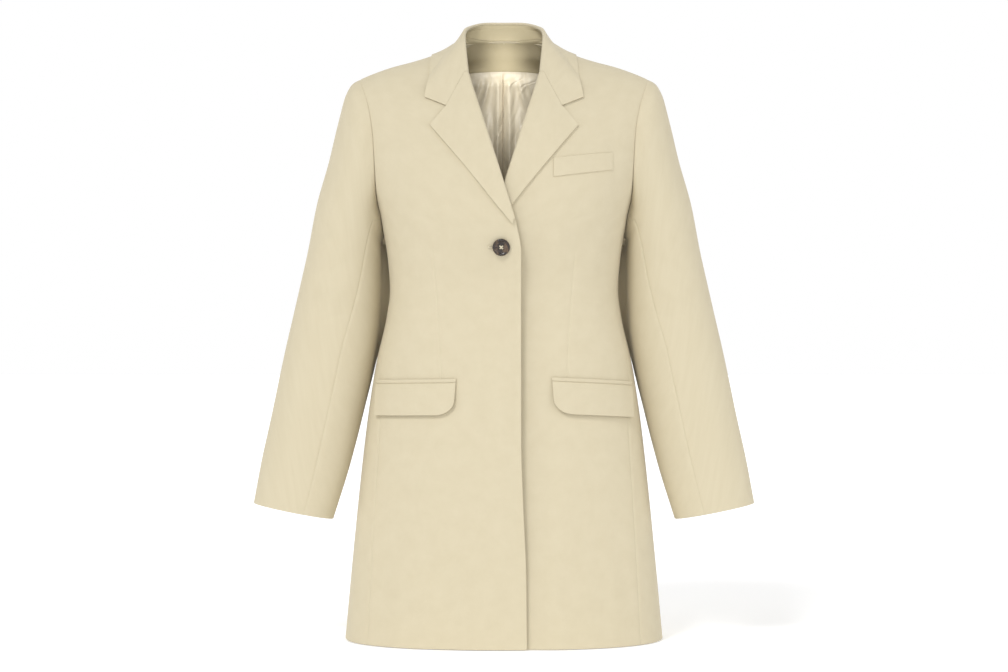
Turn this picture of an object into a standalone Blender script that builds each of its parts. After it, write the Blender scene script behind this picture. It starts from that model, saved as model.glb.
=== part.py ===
"""A tailored single-breasted overcoat, hollow and filled out as worn, in metres.

The origin is the base of the neck, midway between the shoulders.  The front faces -Y, up is +Z
and +X is the wearer's left.  Each cut piece is a thin wall of its own, 0.3 mm clear of the next.
"""
import math
from collections import namedtuple

import bmesh
import bpy
from mathutils import Vector

# Driving sizes
HEM_LEVEL = -0.832
UNDERARM_LEVEL = -0.238
ARMHOLE_DIP = 0.026
NECK_POINT_OUT = 0.068
NECK_POINT_LEVEL = 0.008
NECK_BACK_LEVEL = 0.020
SHOULDER_POINT_OUT = 0.204
FRONT_FALL = 0.24
BACK_FALL = 0.18
SECTION_POWER = 2.4
CLOTH = 0.0020
LIGHT_CLOTH = 0.0012
SEAM_GAP = 0.0003
LAID_ON_GAP = 0.0006
LINED_GAP = 0.0014
STEP = 0.0005
LOWER_ROWS = 16
UPPER_ROWS = 9
FRONT_COLUMNS = 14
SIDE_COLUMNS = 6
BACK_COLUMNS = 12
SEAM_SHARE = 0.002

# Sleeves
ARMHOLE_CENTRE_Y = 0.004
ARMHOLE_CENTRE_LEVEL = -0.153
ARMHOLE_GAP = 0.0005
BACK_PITCH_ROW = 7
SLEEVE_SEAM_SHARE = 0.012

# Lapping fronts
LAP = 0.024
BREAK_LEVEL = -0.248
ROLL_INSET = 0.0055
OVER_LIFT = 0.0016
UNDER_LIFT = -0.0018
BREAK_LIFT = 0.0030

# Collar and lapels
FOLD_RADIUS = 0.0045
FOLD_START = -40.0
FOLD_END = 90.0
FOOT_START = 35.0
FOLD_STEPS = 4
NECK_FOLD_START = -15.0
NECK_FOLD_RADIUS = 0.0030
PRESSED_RADIUS = 0.0024
GORGE_LEVEL = -0.0406
LAPEL_FOOT_LEVEL = -0.246
SETTLE_SHARE = 0.7
NOTCH_SHARE = 0.62
COLLAR_COLUMNS = 8
COLLAR_REST = 0.0016
COLLAR_EDGE_REST = 0.0030
STAND_GAP = 0.0008
STAND_FRONT_LIFT = 0.0024
STAND_BACK_LIFT = 0.0006
STAND_START = 0.16

# Inside the back
FACING_HALF_WIDTH = 0.094
FACING_LEVEL = -0.0215
FACING_CURVE = 0.0150
LINING_HEM_LEVEL = -0.330
LINING_HALF_WIDTH = 0.150
LINING_TAPER = 0.040
PLEAT_OUT = 0.002
PLEAT_HEIGHT = 0.0035
PLEAT_WIDTH = 0.006

# Pockets
FLAP_FRONT_OUT = 0.0655
FLAP_REAR_ANGLE = 73.5
FLAP_TOP_LEVEL = -0.4652
FLAP_HEIGHT = 0.0445
FLAP_CORNER = 0.020
FLAP_CORNER_ANGLE = 9.0
POCKET_GAP = 0.0008
POCKET_COLUMNS = 14
JET_HEIGHT = 0.0050
JET_CLOTH = 0.0016
WELT_CLOTH = 0.0014
WELT_CORNERS = ((0.0676, -0.1889), (0.1500, -0.1771), (0.1500, -0.1526), (0.0676, -0.1629))

# Button
BUTTON_LEVEL = -0.285
BUTTON_OUT = -0.0037
BUTTON_RADIUS = 0.0119
BUTTON_SEGMENTS = 28
BUTTON_STAND_OFF = 0.0010
BUTTON_HOLE_RADIUS = 0.0010
BUTTON_HOLE_SPREAD = 0.0023
SHANK_RADIUS = 0.0012
SHANK_CLEAR = 0.0004
SHANK_TOP = 0.0007
BUTTONHOLE_ENDS = (-0.0212, 0.0000)
BUTTONHOLE_HEIGHT = 0.0042

TorsoRing = namedtuple("TorsoRing", "place z half_width front back")
TORSO = [
    TorsoRing("neck", 0.030, 0.250, 0.094, 0.098),
    TorsoRing("collarbone", -0.050, 0.240, 0.104, 0.104),
    TorsoRing("upper chest", -0.120, 0.212, 0.118, 0.111),
    TorsoRing("bust", -0.190, 0.192, 0.128, 0.108),
    TorsoRing("underarm", -0.238, 0.1755, 0.128, 0.100),
    TorsoRing("under bust", -0.300, 0.1645, 0.116, 0.085),
    TorsoRing("waist", -0.341, 0.1617, 0.108, 0.078),
    TorsoRing("below waist", -0.380, 0.1665, 0.106, 0.083),
    TorsoRing("high hip", -0.440, 0.1800, 0.111, 0.099),
    TorsoRing("hip", -0.500, 0.1900, 0.117, 0.113),
    TorsoRing("seat", -0.570, 0.1990, 0.122, 0.121),
    TorsoRing("thigh", -0.700, 0.2125, 0.129, 0.125),
    TorsoRing("hem", -0.832, 0.2245, 0.136, 0.129),
]

Ridge = namedtuple("Ridge", "x z")
SHOULDER_RIDGE = [
    Ridge(-0.020, 0.0333),
    Ridge(0.000, 0.0360),
    Ridge(0.020, 0.0333),
    Ridge(0.040, 0.0250),
    Ridge(0.055, 0.0156),
    Ridge(0.068, 0.0080),
    Ridge(0.090, -0.0045),
    Ridge(0.125, -0.0165),
    Ridge(0.159, -0.0255),
    Ridge(0.185, -0.0345),
    Ridge(0.204, -0.0425),
    Ridge(0.250, -0.0640),
]

Seam = namedtuple("Seam", "z front_angle back_angle")
SEAMS = [
    Seam(-0.238, 81.0, 105.0),
    Seam(-0.300, 78.5, 108.0),
    Seam(-0.380, 77.0, 110.0),
    Seam(-0.440, 74.0, 111.0),
    Seam(-0.500, 66.5, 112.0),
    Seam(-0.540, 62.5, 112.5),
    Seam(-0.650, 60.0, 113.0),
    Seam(-0.832, 57.5, 114.0),
]

Armhole = namedtuple("Armhole", "z front back")
ARMHOLE = [
    Armhole(-0.0425, 0.2040, 0.2040),
    Armhole(-0.0870, 0.1895, 0.1930),
    Armhole(-0.1220, 0.1835, 0.1875),
    Armhole(-0.1680, 0.1805, 0.1850),
    Armhole(-0.2130, 0.1785, 0.1790),
    Armhole(-0.2380, 0.1733, 0.1700),
]

Roll = namedtuple("Roll", "z x")
ROLL_LINE = [
    Roll(-0.2484, -0.0163),
    Roll(-0.1370, 0.0185),
    Roll(-0.0406, 0.0486),
    Roll(-0.0150, 0.0556),
    Roll(0.0080, 0.0625),
]

FrontEdge = namedtuple("FrontEdge", "z past_centre")
FRONT_EDGE = [
    FrontEdge(-0.2484, 0.0160),
    FrontEdge(-0.2900, 0.0231),
    FrontEdge(-0.5500, 0.0232),
    FrontEdge(-0.6250, 0.0255),
    FrontEdge(-0.7300, 0.0300),
    FrontEdge(-0.8320, 0.0312),
]

LapelRow = namedtuple("LapelRow", "along x z")
LAPEL_EDGE = [
    LapelRow(0.00, -0.0120, -0.2535),
    LapelRow(0.16, 0.0068, -0.2321),
    LapelRow(0.40, 0.0352, -0.1960),
    LapelRow(0.70, 0.0690, -0.1552),
    LapelRow(1.00, 0.1016, -0.1164),
]
NOTCH = (0.0774, -0.0895)
COLLAR_TIP = (0.1096, -0.0762)

CollarRow = namedtuple(
    "CollarRow", "place x y z in_x in_y up_x up_y up_z turn bow edge_x edge_z back")
COLLAR = [
    CollarRow("front", 0.0562, -0.046, 0.0045, -0.95, 0.20, 0.30, -0.60, 0.75, 100, 0.0005,
              0.1040, -0.0440, False),
    CollarRow("shoulder", 0.0560, -0.010, 0.0312, -1.00, 0.05, 0.12, -0.20, 0.96, 120, -0.0030,
              0.0950, -0.0098, True),
    CollarRow("behind shoulder", 0.0490, 0.032, 0.0416, -0.80, -0.60, 0.05, 0.00, 1.00, 145, -0.0015,
              0.0790, -0.0066, True),
    CollarRow("back", 0.0270, 0.0612, 0.0448, -0.38, -0.92, 0.00, 0.00, 1.00, 165, 0.0012,
              0.0450, 0.0020, True),
    CollarRow("centre back", 0.0000, 0.066, 0.0456, 0.00, -1.00, 0.00, 0.00, 1.00, 170, 0.0018,
              0.0000, 0.0065, True),
]

SleeveRing = namedtuple(
    "SleeveRing", "station outer_x outer_z inner_x inner_z centre_y half_depth front_rise tuck")
SLEEVE = [
    SleeveRing(0, 0.2045, -0.0440, 0.1745, -0.2640, 0.004, 0.066, 0.00, 0.000),
    SleeveRing(1, 0.2150, -0.0500, 0.1748, -0.2665, 0.004, 0.066, 0.00, 0.000),
    SleeveRing(2, 0.2240, -0.0640, 0.1748, -0.2695, 0.004, 0.065, 0.00, 0.000),
    SleeveRing(3, 0.2348, -0.1020, 0.1746, -0.2740, 0.004, 0.064, 0.00, 0.000),
    SleeveRing(4, 0.2485, -0.1589, 0.1742, -0.2810, 0.004, 0.063, 0.00, 0.010),
    SleeveRing(5, 0.2658, -0.2200, 0.1738, -0.2960, 0.005, 0.061, 0.00, 0.021),
    SleeveRing(6, 0.2783, -0.2839, 0.1740, -0.3230, 0.007, 0.060, 0.00, 0.024),
    SleeveRing(7, 0.2944, -0.3549, 0.1765, -0.3820, 0.008, 0.058, 0.02, 0.021),
    SleeveRing(8, 0.3102, -0.4259, 0.1858, -0.4514, 0.002, 0.055, 0.08, 0.006),
    SleeveRing(9, 0.3245, -0.4969, 0.2010, -0.5224, -0.009, 0.050, 0.14, 0.000),
    SleeveRing(10, 0.3387, -0.5679, 0.2185, -0.5920, -0.021, 0.045, 0.17, 0.000),
    SleeveRing(11, 0.3510, -0.6400, 0.2398, -0.6624, -0.034, 0.041, 0.18, 0.000),
]

SleeveSeam = namedtuple("SleeveSeam", "station front_angle back_angle")
SLEEVE_SEAMS = [
    SleeveSeam(0, 150.0, 262.0),
    SleeveSeam(3, 134.0, 258.0),
    SleeveSeam(6, 122.0, 245.0),
    SleeveSeam(8, 107.0, 238.0),
    SleeveSeam(11, 109.0, 240.0),
]

ButtonRow = namedtuple("ButtonRow", "place radius height")
BUTTON_OUTLINE = [
    ButtonRow("back centre", 0.0, 0.0),
    ButtonRow("back edge", 0.0085, 0.0),
    ButtonRow("under rim", 0.0108, 0.0009),
    ButtonRow("widest", BUTTON_RADIUS, 0.0022),
    ButtonRow("rim outside", 0.0116, 0.0036),
    ButtonRow("rim top", 0.0106, 0.0042),
    ButtonRow("rim inside", 0.0092, 0.0040),
    ButtonRow("dish edge", 0.0074, 0.0028),
    ButtonRow("dish centre", 0.0, 0.0024),
]

# Cloth and button finishes
COAT_COLOUR = (0.75, 0.69, 0.52)
LINING_COLOUR = (0.52, 0.46, 0.36)
HORN_COLOUR = (0.030, 0.018, 0.012)
THREAD_COLOUR = (0.25, 0.20, 0.14)


def smooth(rows, key, column, at):
    """Read a column of a table at any place, on a curve that keeps between its rows."""
    points = sorted((getattr(row, key), getattr(row, column)) for row in rows)
    at = min(max(at, points[0][0]), points[-1][0])
    slopes = []
    for before, after in zip(points, points[1:]):
        slopes.append((after[1] - before[1]) / (after[0] - before[0]))
    index = 0
    while index < len(slopes) - 1 and at > points[index + 1][0]:
        index += 1

    def tangent(knot):
        if knot == 0 or knot == len(slopes):
            return slopes[min(knot, len(slopes) - 1)]
        left, right = slopes[knot - 1], slopes[knot]
        if left * right <= 0.0:
            return 0.0
        return 2.0 * left * right / (left + right)

    start, end = points[index], points[index + 1]
    width = end[0] - start[0]
    t = (at - start[0]) / width
    rise_out = t * (1 - t) ** 2 * width * tangent(index)
    rise_in = -t * t * (1 - t) * width * tangent(index + 1)
    return start[1] + (3 - 2 * t) * t * t * (end[1] - start[1]) + rise_out + rise_in


def ease(start, end, at):
    """Go smoothly from 0 at one place to 1 at another."""
    t = min(max((at - start) / (end - start), 0.0), 1.0)
    return t * t * (3 - 2 * t)


def bulge(share, power=SECTION_POWER):
    """The height of a rounded section at a share of its half width."""
    return max(1.0 - abs(share) ** power, 0.0) ** (1.0 / power)


def torso_depth(x, z, back=False):
    """How far the cloth stands in front of or behind the shoulder line."""
    half_width = smooth(TORSO, "z", "half_width", z)
    depth = smooth(TORSO, "z", "back" if back else "front", z)
    drop = smooth(SHOULDER_RIDGE, "x", "z", abs(x)) - z
    fall = BACK_FALL if back else FRONT_FALL
    return depth * bulge(x / half_width) * bulge(1.0 - min(max(drop / fall, 0.0), 1.0))


def torso_point(x, z, back=False):
    """A point of the outer cloth at a place of the front or back view."""
    depth = torso_depth(x, z, back)
    return Vector((x, depth if back else -depth, z))


def around(angle, z):
    """A point of the outer cloth at an angle from centre front round to centre back."""
    half_width = smooth(TORSO, "z", "half_width", z)
    return torso_point(half_width * math.sin(math.radians(angle)), z, back=angle > 90.0)


def surface_normal(surface, first, second, first_range, second_range, outward):
    """The normal of a surface, from points a short step apart, towards a given direction."""
    low, high = max(first - STEP, first_range[0]), min(first + STEP, first_range[1])
    along = surface(high, second) - surface(low, second)
    low, high = max(second - STEP, second_range[0]), min(second + STEP, second_range[1])
    across = surface(first, high) - surface(first, low)
    normal = along.cross(across).normalized()
    return normal if normal.dot(outward) > 0 else -normal


def steps(start, end, count):
    """Evenly spaced values, ends included."""
    return [start + (end - start) * index / count for index in range(count + 1)]


def material(name, colour, roughness):
    """A plain principled finish."""
    finish = bpy.data.materials.new(name)
    finish.use_nodes = True
    shader = finish.node_tree.nodes["Principled BSDF"]
    shader.inputs["Base Color"].default_value = (*colour, 1.0)
    shader.inputs["Roughness"].default_value = roughness
    shader.inputs["Metallic"].default_value = 0.0
    return finish


def add_object(name, mesh, finish, collection, angle=40.0):
    """Put a mesh in a collection, smooth but for its sharp edges."""
    mesh.materials.append(finish)
    mesh.shade_smooth()
    mesh.set_sharp_from_angle(angle=math.radians(angle))
    piece = bpy.data.objects.new(name, mesh)
    collection.objects.link(piece)
    return piece


def wall(name, outer, inner, finish, collection):
    """Join two grids of points, face and reverse of a cloth, into one closed wall."""
    form = bmesh.new()
    faces = [[[form.verts.new(point) for point in row] for row in grid] for grid in (outer, inner)]
    rows, columns = len(outer), len(outer[0])
    for grid in faces:
        for i in range(rows - 1):
            for j in range(columns - 1):
                form.faces.new((grid[i][j], grid[i][j + 1], grid[i + 1][j + 1], grid[i + 1][j]))
    rim = [(0, j) for j in range(columns)]
    rim += [(i, columns - 1) for i in range(1, rows)]
    rim += [(rows - 1, j) for j in range(columns - 2, -1, -1)]
    rim += [(i, 0) for i in range(rows - 2, 0, -1)]
    face, reverse = faces
    for here, there in zip(rim, rim[1:] + rim[:1]):
        corners = (face[here[0]][here[1]], face[there[0]][there[1]],
                   reverse[there[0]][there[1]], reverse[here[0]][here[1]])
        form.faces.new(corners)
    bmesh.ops.recalc_face_normals(form, faces=form.faces)
    mesh = bpy.data.meshes.new(name)
    form.to_mesh(mesh)
    form.free()
    return add_object(name, mesh, finish, collection)


def laid_wall(name, points, normals, offset, thickness, finish, collection, side=1):
    """A wall whose face lies at an offset from points, on the wearer's left (1) or right (-1)."""
    outer, inner = [], []
    for row, directions in zip(points, normals):
        outer.append([mirrored(p + n * offset, side) for p, n in zip(row, directions)])
        inner.append([mirrored(p + n * (offset - thickness), side) for p, n in zip(row, directions)])
    return wall(name, outer, inner, finish, collection)


def mirrored(point, side):
    """The same place on the other half of the coat."""
    return Vector((point.x * side, point.y, point.z))


# ---------------------------------------------------------------- fronts

def front_inner_edge(z, side):
    """Where a front ends towards the centre: its lapping edge, then its roll line."""
    lapping = -smooth(FRONT_EDGE, "z", "past_centre", z) if side < 0 else -LAP
    roll = smooth(ROLL_LINE, "z", "x", z) + ROLL_INSET
    return lapping + (roll - lapping) * ease(BREAK_LEVEL, BREAK_LEVEL + 0.008, z)


def front_lift(x, z, side):
    """How far a front stands off the figure where it laps over or under the other."""
    near_lap = 1.0 - ease(0.030, 0.080, x)
    at_break = ease(-0.330, -0.270, z) * (1.0 - ease(-0.190, -0.110, z))
    fading = 1.0 - ease(-0.190, -0.090, z)
    if side < 0:
        return near_lap * (OVER_LIFT * fading + BREAK_LIFT * at_break)
    return near_lap * UNDER_LIFT * fading


def front_surface(side):
    """Points of a front, across from its inner edge (0) to its side (1), up to the shoulder (2)."""
    def place(across, up):
        if up <= 1.0:
            outer_z = HEM_LEVEL + (UNDERARM_LEVEL - HEM_LEVEL) * up
            inner_z = outer_z
            seam = smooth(SEAMS, "z", "front_angle", outer_z)
            half_width = smooth(TORSO, "z", "half_width", outer_z)
            outer_x = half_width * math.sin(math.radians(seam))
            share = 1.0
        else:
            share = (2.0 - up) ** 2
            outer_top = smooth(SHOULDER_RIDGE, "x", "z", SHOULDER_POINT_OUT)
            outer_z = outer_top - (outer_top - UNDERARM_LEVEL) * share
            inner_z = NECK_POINT_LEVEL - (NECK_POINT_LEVEL - UNDERARM_LEVEL) * share
            outer_x = smooth(ARMHOLE, "z", "front", outer_z)
        inner_x = front_inner_edge(inner_z, side)
        half_width = smooth(TORSO, "z", "half_width", outer_z)
        start = math.asin(inner_x / half_width)
        end = math.asin(min(outer_x / half_width, 1.0))
        x = half_width * math.sin(start + (end - start) * across)
        if up <= 1.0:
            return x, outer_z
        reach = (x - inner_x) / (outer_x - inner_x)
        top_x = NECK_POINT_OUT + (SHOULDER_POINT_OUT - NECK_POINT_OUT) * reach
        top_z = smooth(SHOULDER_RIDGE, "x", "z", top_x)
        return x, top_z - (top_z - UNDERARM_LEVEL) * share

    def surface(across, up):
        x, z = place(across, up)
        return torso_point(x, z)

    def lifted(across, up):
        x, z = place(across, up)
        normal = surface_normal(surface, across, up, (0, 1), (0, 2), Vector((0.3, -1, 0.3)))
        return torso_point(x, z) + normal * front_lift(x, z, side), normal

    return lifted


def build_front(name, side, finish, collection):
    """One front, with its shoulder and side edges half a seam gap short."""
    lifted = front_surface(side)
    levels = steps(0, 1, LOWER_ROWS) + steps(1, 2, UPPER_ROWS)[1:]
    points, normals = [], []
    for up in levels:
        row = [lifted(across, up) for across in steps(0, 1 - SEAM_SHARE, FRONT_COLUMNS)]
        points.append([point for point, normal in row])
        normals.append([normal for point, normal in row])
    points[-1] = [point + Vector((0, -SEAM_GAP, 0)) for point in points[-1]]
    return laid_wall(name, points, normals, 0.0, CLOTH, finish, collection, side)


# ---------------------------------------------------------------- sides and backs

def side_surface(across, up):
    """Points of a side panel, across from the front seam to the back seam, up to the armhole."""
    z = HEM_LEVEL + (UNDERARM_LEVEL - HEM_LEVEL) * up
    start = smooth(SEAMS, "z", "front_angle", z)
    end = smooth(SEAMS, "z", "back_angle", z)
    low = z - ARMHOLE_DIP * math.sin(math.pi * across) * up ** 6
    return around(start + (end - start) * across, low)


def build_side(name, side, finish, collection):
    """The panel under the arm."""
    points, normals = [], []
    for up in steps(0, 1, LOWER_ROWS):
        outward = Vector((1, 0, 0))
        shares = steps(2 * SEAM_SHARE, 1 - 2 * SEAM_SHARE, SIDE_COLUMNS)
        points.append([side_surface(across, up) for across in shares])
        normals.append([surface_normal(side_surface, across, up, (0, 1), (0, 1), outward)
                        for across in shares])
    return laid_wall(name, points, normals, 0.0, CLOTH, finish, collection, side)


def neckline_level(x):
    """The height of the back neck seam, then of the shoulder seam."""
    if x >= NECK_POINT_OUT:
        return smooth(SHOULDER_RIDGE, "x", "z", x)
    share = (x / NECK_POINT_OUT) ** 2
    return NECK_BACK_LEVEL + (NECK_POINT_LEVEL - NECK_BACK_LEVEL) * share


def back_surface(across, up):
    """Points of a back half, across from the centre seam (0) to its side (1), up to the neck (2)."""
    level = HEM_LEVEL + (UNDERARM_LEVEL - HEM_LEVEL) * min(up, 1.0)
    seam = smooth(SEAMS, "z", "back_angle", level)
    angle = math.radians(180.0 - seam)
    spread = math.sin(angle * across) / math.sin(angle)
    if up <= 1.0:
        half_width = smooth(TORSO, "z", "half_width", level)
        return torso_point(half_width * math.sin(angle * across), level, back=True)
    share = (2.0 - up) ** 2
    shoulder = smooth(SHOULDER_RIDGE, "x", "z", SHOULDER_POINT_OUT)
    outer_z = shoulder - (shoulder - UNDERARM_LEVEL) * share
    outer_x = smooth(ARMHOLE, "z", "back", outer_z)
    top = neckline_level(SHOULDER_POINT_OUT * spread)
    return torso_point(outer_x * spread, top - (top - UNDERARM_LEVEL) * share, back=True)


def build_back(name, side, finish, collection):
    """One half of the back, to the centre seam."""
    points, normals = [], []
    for up in steps(0, 1, LOWER_ROWS) + steps(1, 2, UPPER_ROWS)[1:]:
        shares = steps(0.0, 1 - SEAM_SHARE, BACK_COLUMNS)
        row = [back_surface(across, up) for across in shares]
        row[0] = row[0] + Vector((SEAM_GAP / 2, 0, 0))
        points.append(row)
        normals.append([surface_normal(back_surface, across, up, (0, 1), (0, 2), Vector((0.3, 1, 0.3)))
                        for across in shares])
        normals[-1][0] = Vector((0, normals[-1][0].y, normals[-1][0].z)).normalized()
    points[-1] = [point + Vector((0, SEAM_GAP, 0)) for point in points[-1]]
    return laid_wall(name, points, normals, 0.0, CLOTH, finish, collection, side)


# ---------------------------------------------------------------- sleeves

def armhole_edge():
    """The armhole's edge, point for point as the panels have it: front, under the arm, back."""
    top = ARMHOLE[0].z
    levels = [top - (top - UNDERARM_LEVEL) * share ** 2 for share in steps(0, 1, UPPER_ROWS)]
    front = [torso_point(smooth(ARMHOLE, "z", "front", z), z) for z in levels]
    shares = steps(2 * SEAM_SHARE, 1 - 2 * SEAM_SHARE, SIDE_COLUMNS)[1:-1]
    under = [side_surface(across, 1.0) for across in shares]
    back = [torso_point(smooth(ARMHOLE, "z", "back", z), z, back=True) for z in levels]
    return front, under, back


def armhole_angle(point):
    """The turn of an armhole point from the top, forwards."""
    return math.degrees(math.atan2(ARMHOLE_CENTRE_Y - point.y, point.z - ARMHOLE_CENTRE_LEVEL)) % 360.0


def sleeve_ring_point(angle, station):
    """A point of the sleeve's ring at a station down the arm, tucked in behind the body."""
    outer = Vector((smooth(SLEEVE, "station", "outer_x", station), 0.0,
                    smooth(SLEEVE, "station", "outer_z", station)))
    inner = Vector((smooth(SLEEVE, "station", "inner_x", station), 0.0,
                    smooth(SLEEVE, "station", "inner_z", station)))
    depth = smooth(SLEEVE, "station", "half_depth", station)
    turn = math.radians(angle)
    point = (outer + inner) / 2 + (outer - inner) / 2 * math.cos(turn)
    squared = math.copysign(abs(math.sin(turn)) ** 0.9, math.sin(turn))
    point.y = smooth(SLEEVE, "station", "centre_y", station) - depth * squared
    point.z += smooth(SLEEVE, "station", "front_rise", station) * depth * squared
    behind_inside = max(-math.cos(turn), 0.0) * max(-math.sin(turn), 0.0) * 2.0
    point.x -= smooth(SLEEVE, "station", "tuck", station) * behind_inside
    return point


def sleeve_edge(under):
    """The part of the armhole that a sleeve piece is set into, with its turns, back to front."""
    front, below, back = armhole_edge()
    if under:
        points = [front[-1]] + below + back[:BACK_PITCH_ROW - 1:-1]
        turns = [armhole_angle(point) for point in points]
    else:
        points = back[BACK_PITCH_ROW:0:-1] + front
        turns = [armhole_angle(point) for point in points]
        turns = [turn - 360.0 if turn > 180.0 else turn for turn in turns]
        turns[BACK_PITCH_ROW] = 0.0
    return points, turns


def between(values, place):
    """A value at a fractional place of a list."""
    index = min(max(int(place), 0), len(values) - 2)
    share = place - index
    return values[index] * (1 - share) + values[index + 1] * share


def sleeve_surface(under):
    """Points of a sleeve piece by column and station: the armhole's edge, easing to free rings."""
    edge, turns = sleeve_edge(under)
    last = len(edge) - 1

    def surface(column, station):
        front_seam = smooth(SLEEVE_SEAMS, "station", "front_angle", station)
        back_seam = smooth(SLEEVE_SEAMS, "station", "back_angle", station)
        start, end = (front_seam, back_seam) if under else (back_seam - 360.0, front_seam)
        even = start + (end - start) * column / last
        turn = between(turns, column)
        angle = turn + (even - turn) * ease(0.0, 3.0, station)
        pull = 1.0 - ease(0.0, 3.5, station)
        setting = between(edge, column) - sleeve_ring_point(turn, 0) + Vector((ARMHOLE_GAP, 0, 0))
        return sleeve_ring_point(angle, station) + setting * pull

    return surface, last


def build_sleeve(name, side, under, finish, collection):
    """The upper or under piece of a sleeve, between its two long seams."""
    surface, last = sleeve_surface(under)
    stations = [0, 0.3, 0.7, 1.2, 1.8, 2.5, 3.2, 4, 5, 6, 7, 8, 9, 10, 11]
    columns = steps(0, last, last)
    columns[0], columns[-1] = SLEEVE_SEAM_SHARE, last - SLEEVE_SEAM_SHARE
    points, normals = [], []
    for station in stations:
        centre = (sleeve_ring_point(0, station) + sleeve_ring_point(180, station)) / 2
        row = [surface(column, station) for column in columns]
        points.append(row)
        normals.append([surface_normal(surface, column, station, (0, last), (0, 11), point - centre)
                        for column, point in zip(columns, row)])
    return laid_wall(name, points, normals, 0.0, CLOTH, finish, collection, side)


# ---------------------------------------------------------------- lapels and collar

def chest_frame(x, z, side):
    """A chest point with its outward normal, both lifted as the front under it is."""
    centre = torso_point(x, z)
    along = torso_point(x + STEP, z) - torso_point(x - STEP, z)
    across = torso_point(x, z + STEP) - torso_point(x, z - STEP)
    normal = along.cross(across).normalized()
    if normal.y > 0:
        normal = -normal
    return centre + normal * front_lift(x, z, side), normal


def fold_arc(centre, inward, upward, radius, start, end):
    """Points round a fold, with the direction that each one faces."""
    points, facing = [], []
    for turn in steps(start, end, FOLD_STEPS):
        angle = math.radians(turn)
        direction = (inward * math.cos(angle) + upward * math.sin(angle)).normalized()
        points.append(centre + direction * radius)
        facing.append(direction)
    return points, facing


def fold_frame(roll_x, roll_z, along, side):
    """The centre and directions of a fold that lies along the roll line."""
    point, normal = chest_frame(roll_x, roll_z, side)
    inward = normal.cross(along).normalized()
    if inward.x > 0:
        inward = -inward
    return point, inward, normal


def roll_direction(side):
    """The roll line's direction on the chest, upwards."""
    low, high = ROLL_LINE[0], ROLL_LINE[2]
    start = chest_frame(low.x, low.z, side)[0]
    return (chest_frame(high.x, high.z, side)[0] - start).normalized()


def settling(radius, place):
    """How far a lapel or collar's face lies off the chest on its way out from its fold."""
    flat = LAID_ON_GAP + CLOTH
    return flat + (SEAM_GAP + radius - flat) * max(1.0 - place / SETTLE_SHARE, 0.0) ** 2


def chest_row(start, end, bend, radius, side):
    """Points over the chest from one place of the front view to another, with their normals."""
    points, normals = [], []
    for share in steps(0, 1, COLLAR_COLUMNS)[1:]:
        x = start[0] + (end[0] - start[0]) * share
        z = start[1] + (end[1] - start[1]) * share
        corner = min(share / NOTCH_SHARE, (1 - share) / (1 - NOTCH_SHARE))
        x += bend[0] * corner
        z += bend[1] * corner
        point, normal = chest_frame(x, z, side)
        points.append(point + normal * settling(radius, share))
        normals.append(normal)
    return points, normals


def build_lapel(name, side, finish, collection):
    """A lapel: a fold round the front's roll line, and the cloth that lies back over the chest."""
    along = roll_direction(side)
    outer_rows, inner_rows = [], []
    straight_end = (LAPEL_EDGE[-1].x, LAPEL_EDGE[-1].z)
    for share in steps(0, 1, 12):
        roll_z = LAPEL_FOOT_LEVEL + (GORGE_LEVEL - 0.0012 - LAPEL_FOOT_LEVEL) * share
        roll_x = smooth(ROLL_LINE, "z", "x", roll_z)
        point, inward, normal = fold_frame(roll_x, roll_z, along, side)
        spring = ease(0.30, 0.50, share) if side > 0 else ease(0.20, 0.45, share)
        radius = PRESSED_RADIUS + (FOLD_RADIUS - PRESSED_RADIUS) * spring
        centre = point + normal * SEAM_GAP - inward * radius
        turn_start = FOOT_START + (FOLD_START - FOOT_START) * ease(0.05, 0.16, share)
        arc, facing = fold_arc(centre, inward, normal, radius, turn_start, FOLD_END)
        edge = (smooth(LAPEL_EDGE, "along", "x", share), smooth(LAPEL_EDGE, "along", "z", share))
        gorge_start = (smooth(ROLL_LINE, "z", "x", GORGE_LEVEL), GORGE_LEVEL)
        chord_x = gorge_start[0] + (straight_end[0] - gorge_start[0]) * NOTCH_SHARE
        chord_z = gorge_start[1] + (straight_end[1] - gorge_start[1]) * NOTCH_SHARE
        turn = share ** 8
        bend = ((NOTCH[0] - chord_x) * turn, (NOTCH[1] - 0.0006 - chord_z) * turn)
        points, normals = chest_row((roll_x + radius, roll_z), edge, bend, radius, side)
        outer_rows.append([mirrored(p, side) for p in arc + points])
        reverse = [p - n * CLOTH for p, n in zip(arc + points, facing + normals)]
        inner_rows.append([mirrored(p, side) for p in reverse])
    return wall(name, outer_rows, inner_rows, finish, collection)


def blend_rows(rows, count):
    """More rows between key rows of points, on smooth curves through them."""
    result = []
    for index in range(len(rows) - 1):
        before = rows[max(index - 1, 0)]
        start, end = rows[index], rows[index + 1]
        after = rows[min(index + 2, len(rows) - 1)]
        for part in range(count):
            t = part / count
            row = []
            for a, b, c, d in zip(before, start, end, after):
                row.append(0.5 * (2 * b + (c - a) * t + (2 * a - 5 * b + 4 * c - d) * t * t
                                  + (3 * b - a - 3 * c + d) * t ** 3))
            result.append(row)
    result.append(list(rows[-1]))
    return result


def collar_edge(row):
    """The place where the collar's outer edge rests on the coat, a wall and a gap clear of it."""
    point = torso_point(row.edge_x, row.edge_z, back=row.back)
    along = torso_point(row.edge_x + STEP, row.edge_z, row.back) - point
    across = point - torso_point(row.edge_x, row.edge_z - STEP, row.back)
    normal = along.cross(across).normalized()
    if normal.dot(Vector((0.2, 1.0 if row.back else -1.0, 0.8))) < 0:
        normal = -normal
    return point + normal * COLLAR_EDGE_REST, normal


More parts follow.
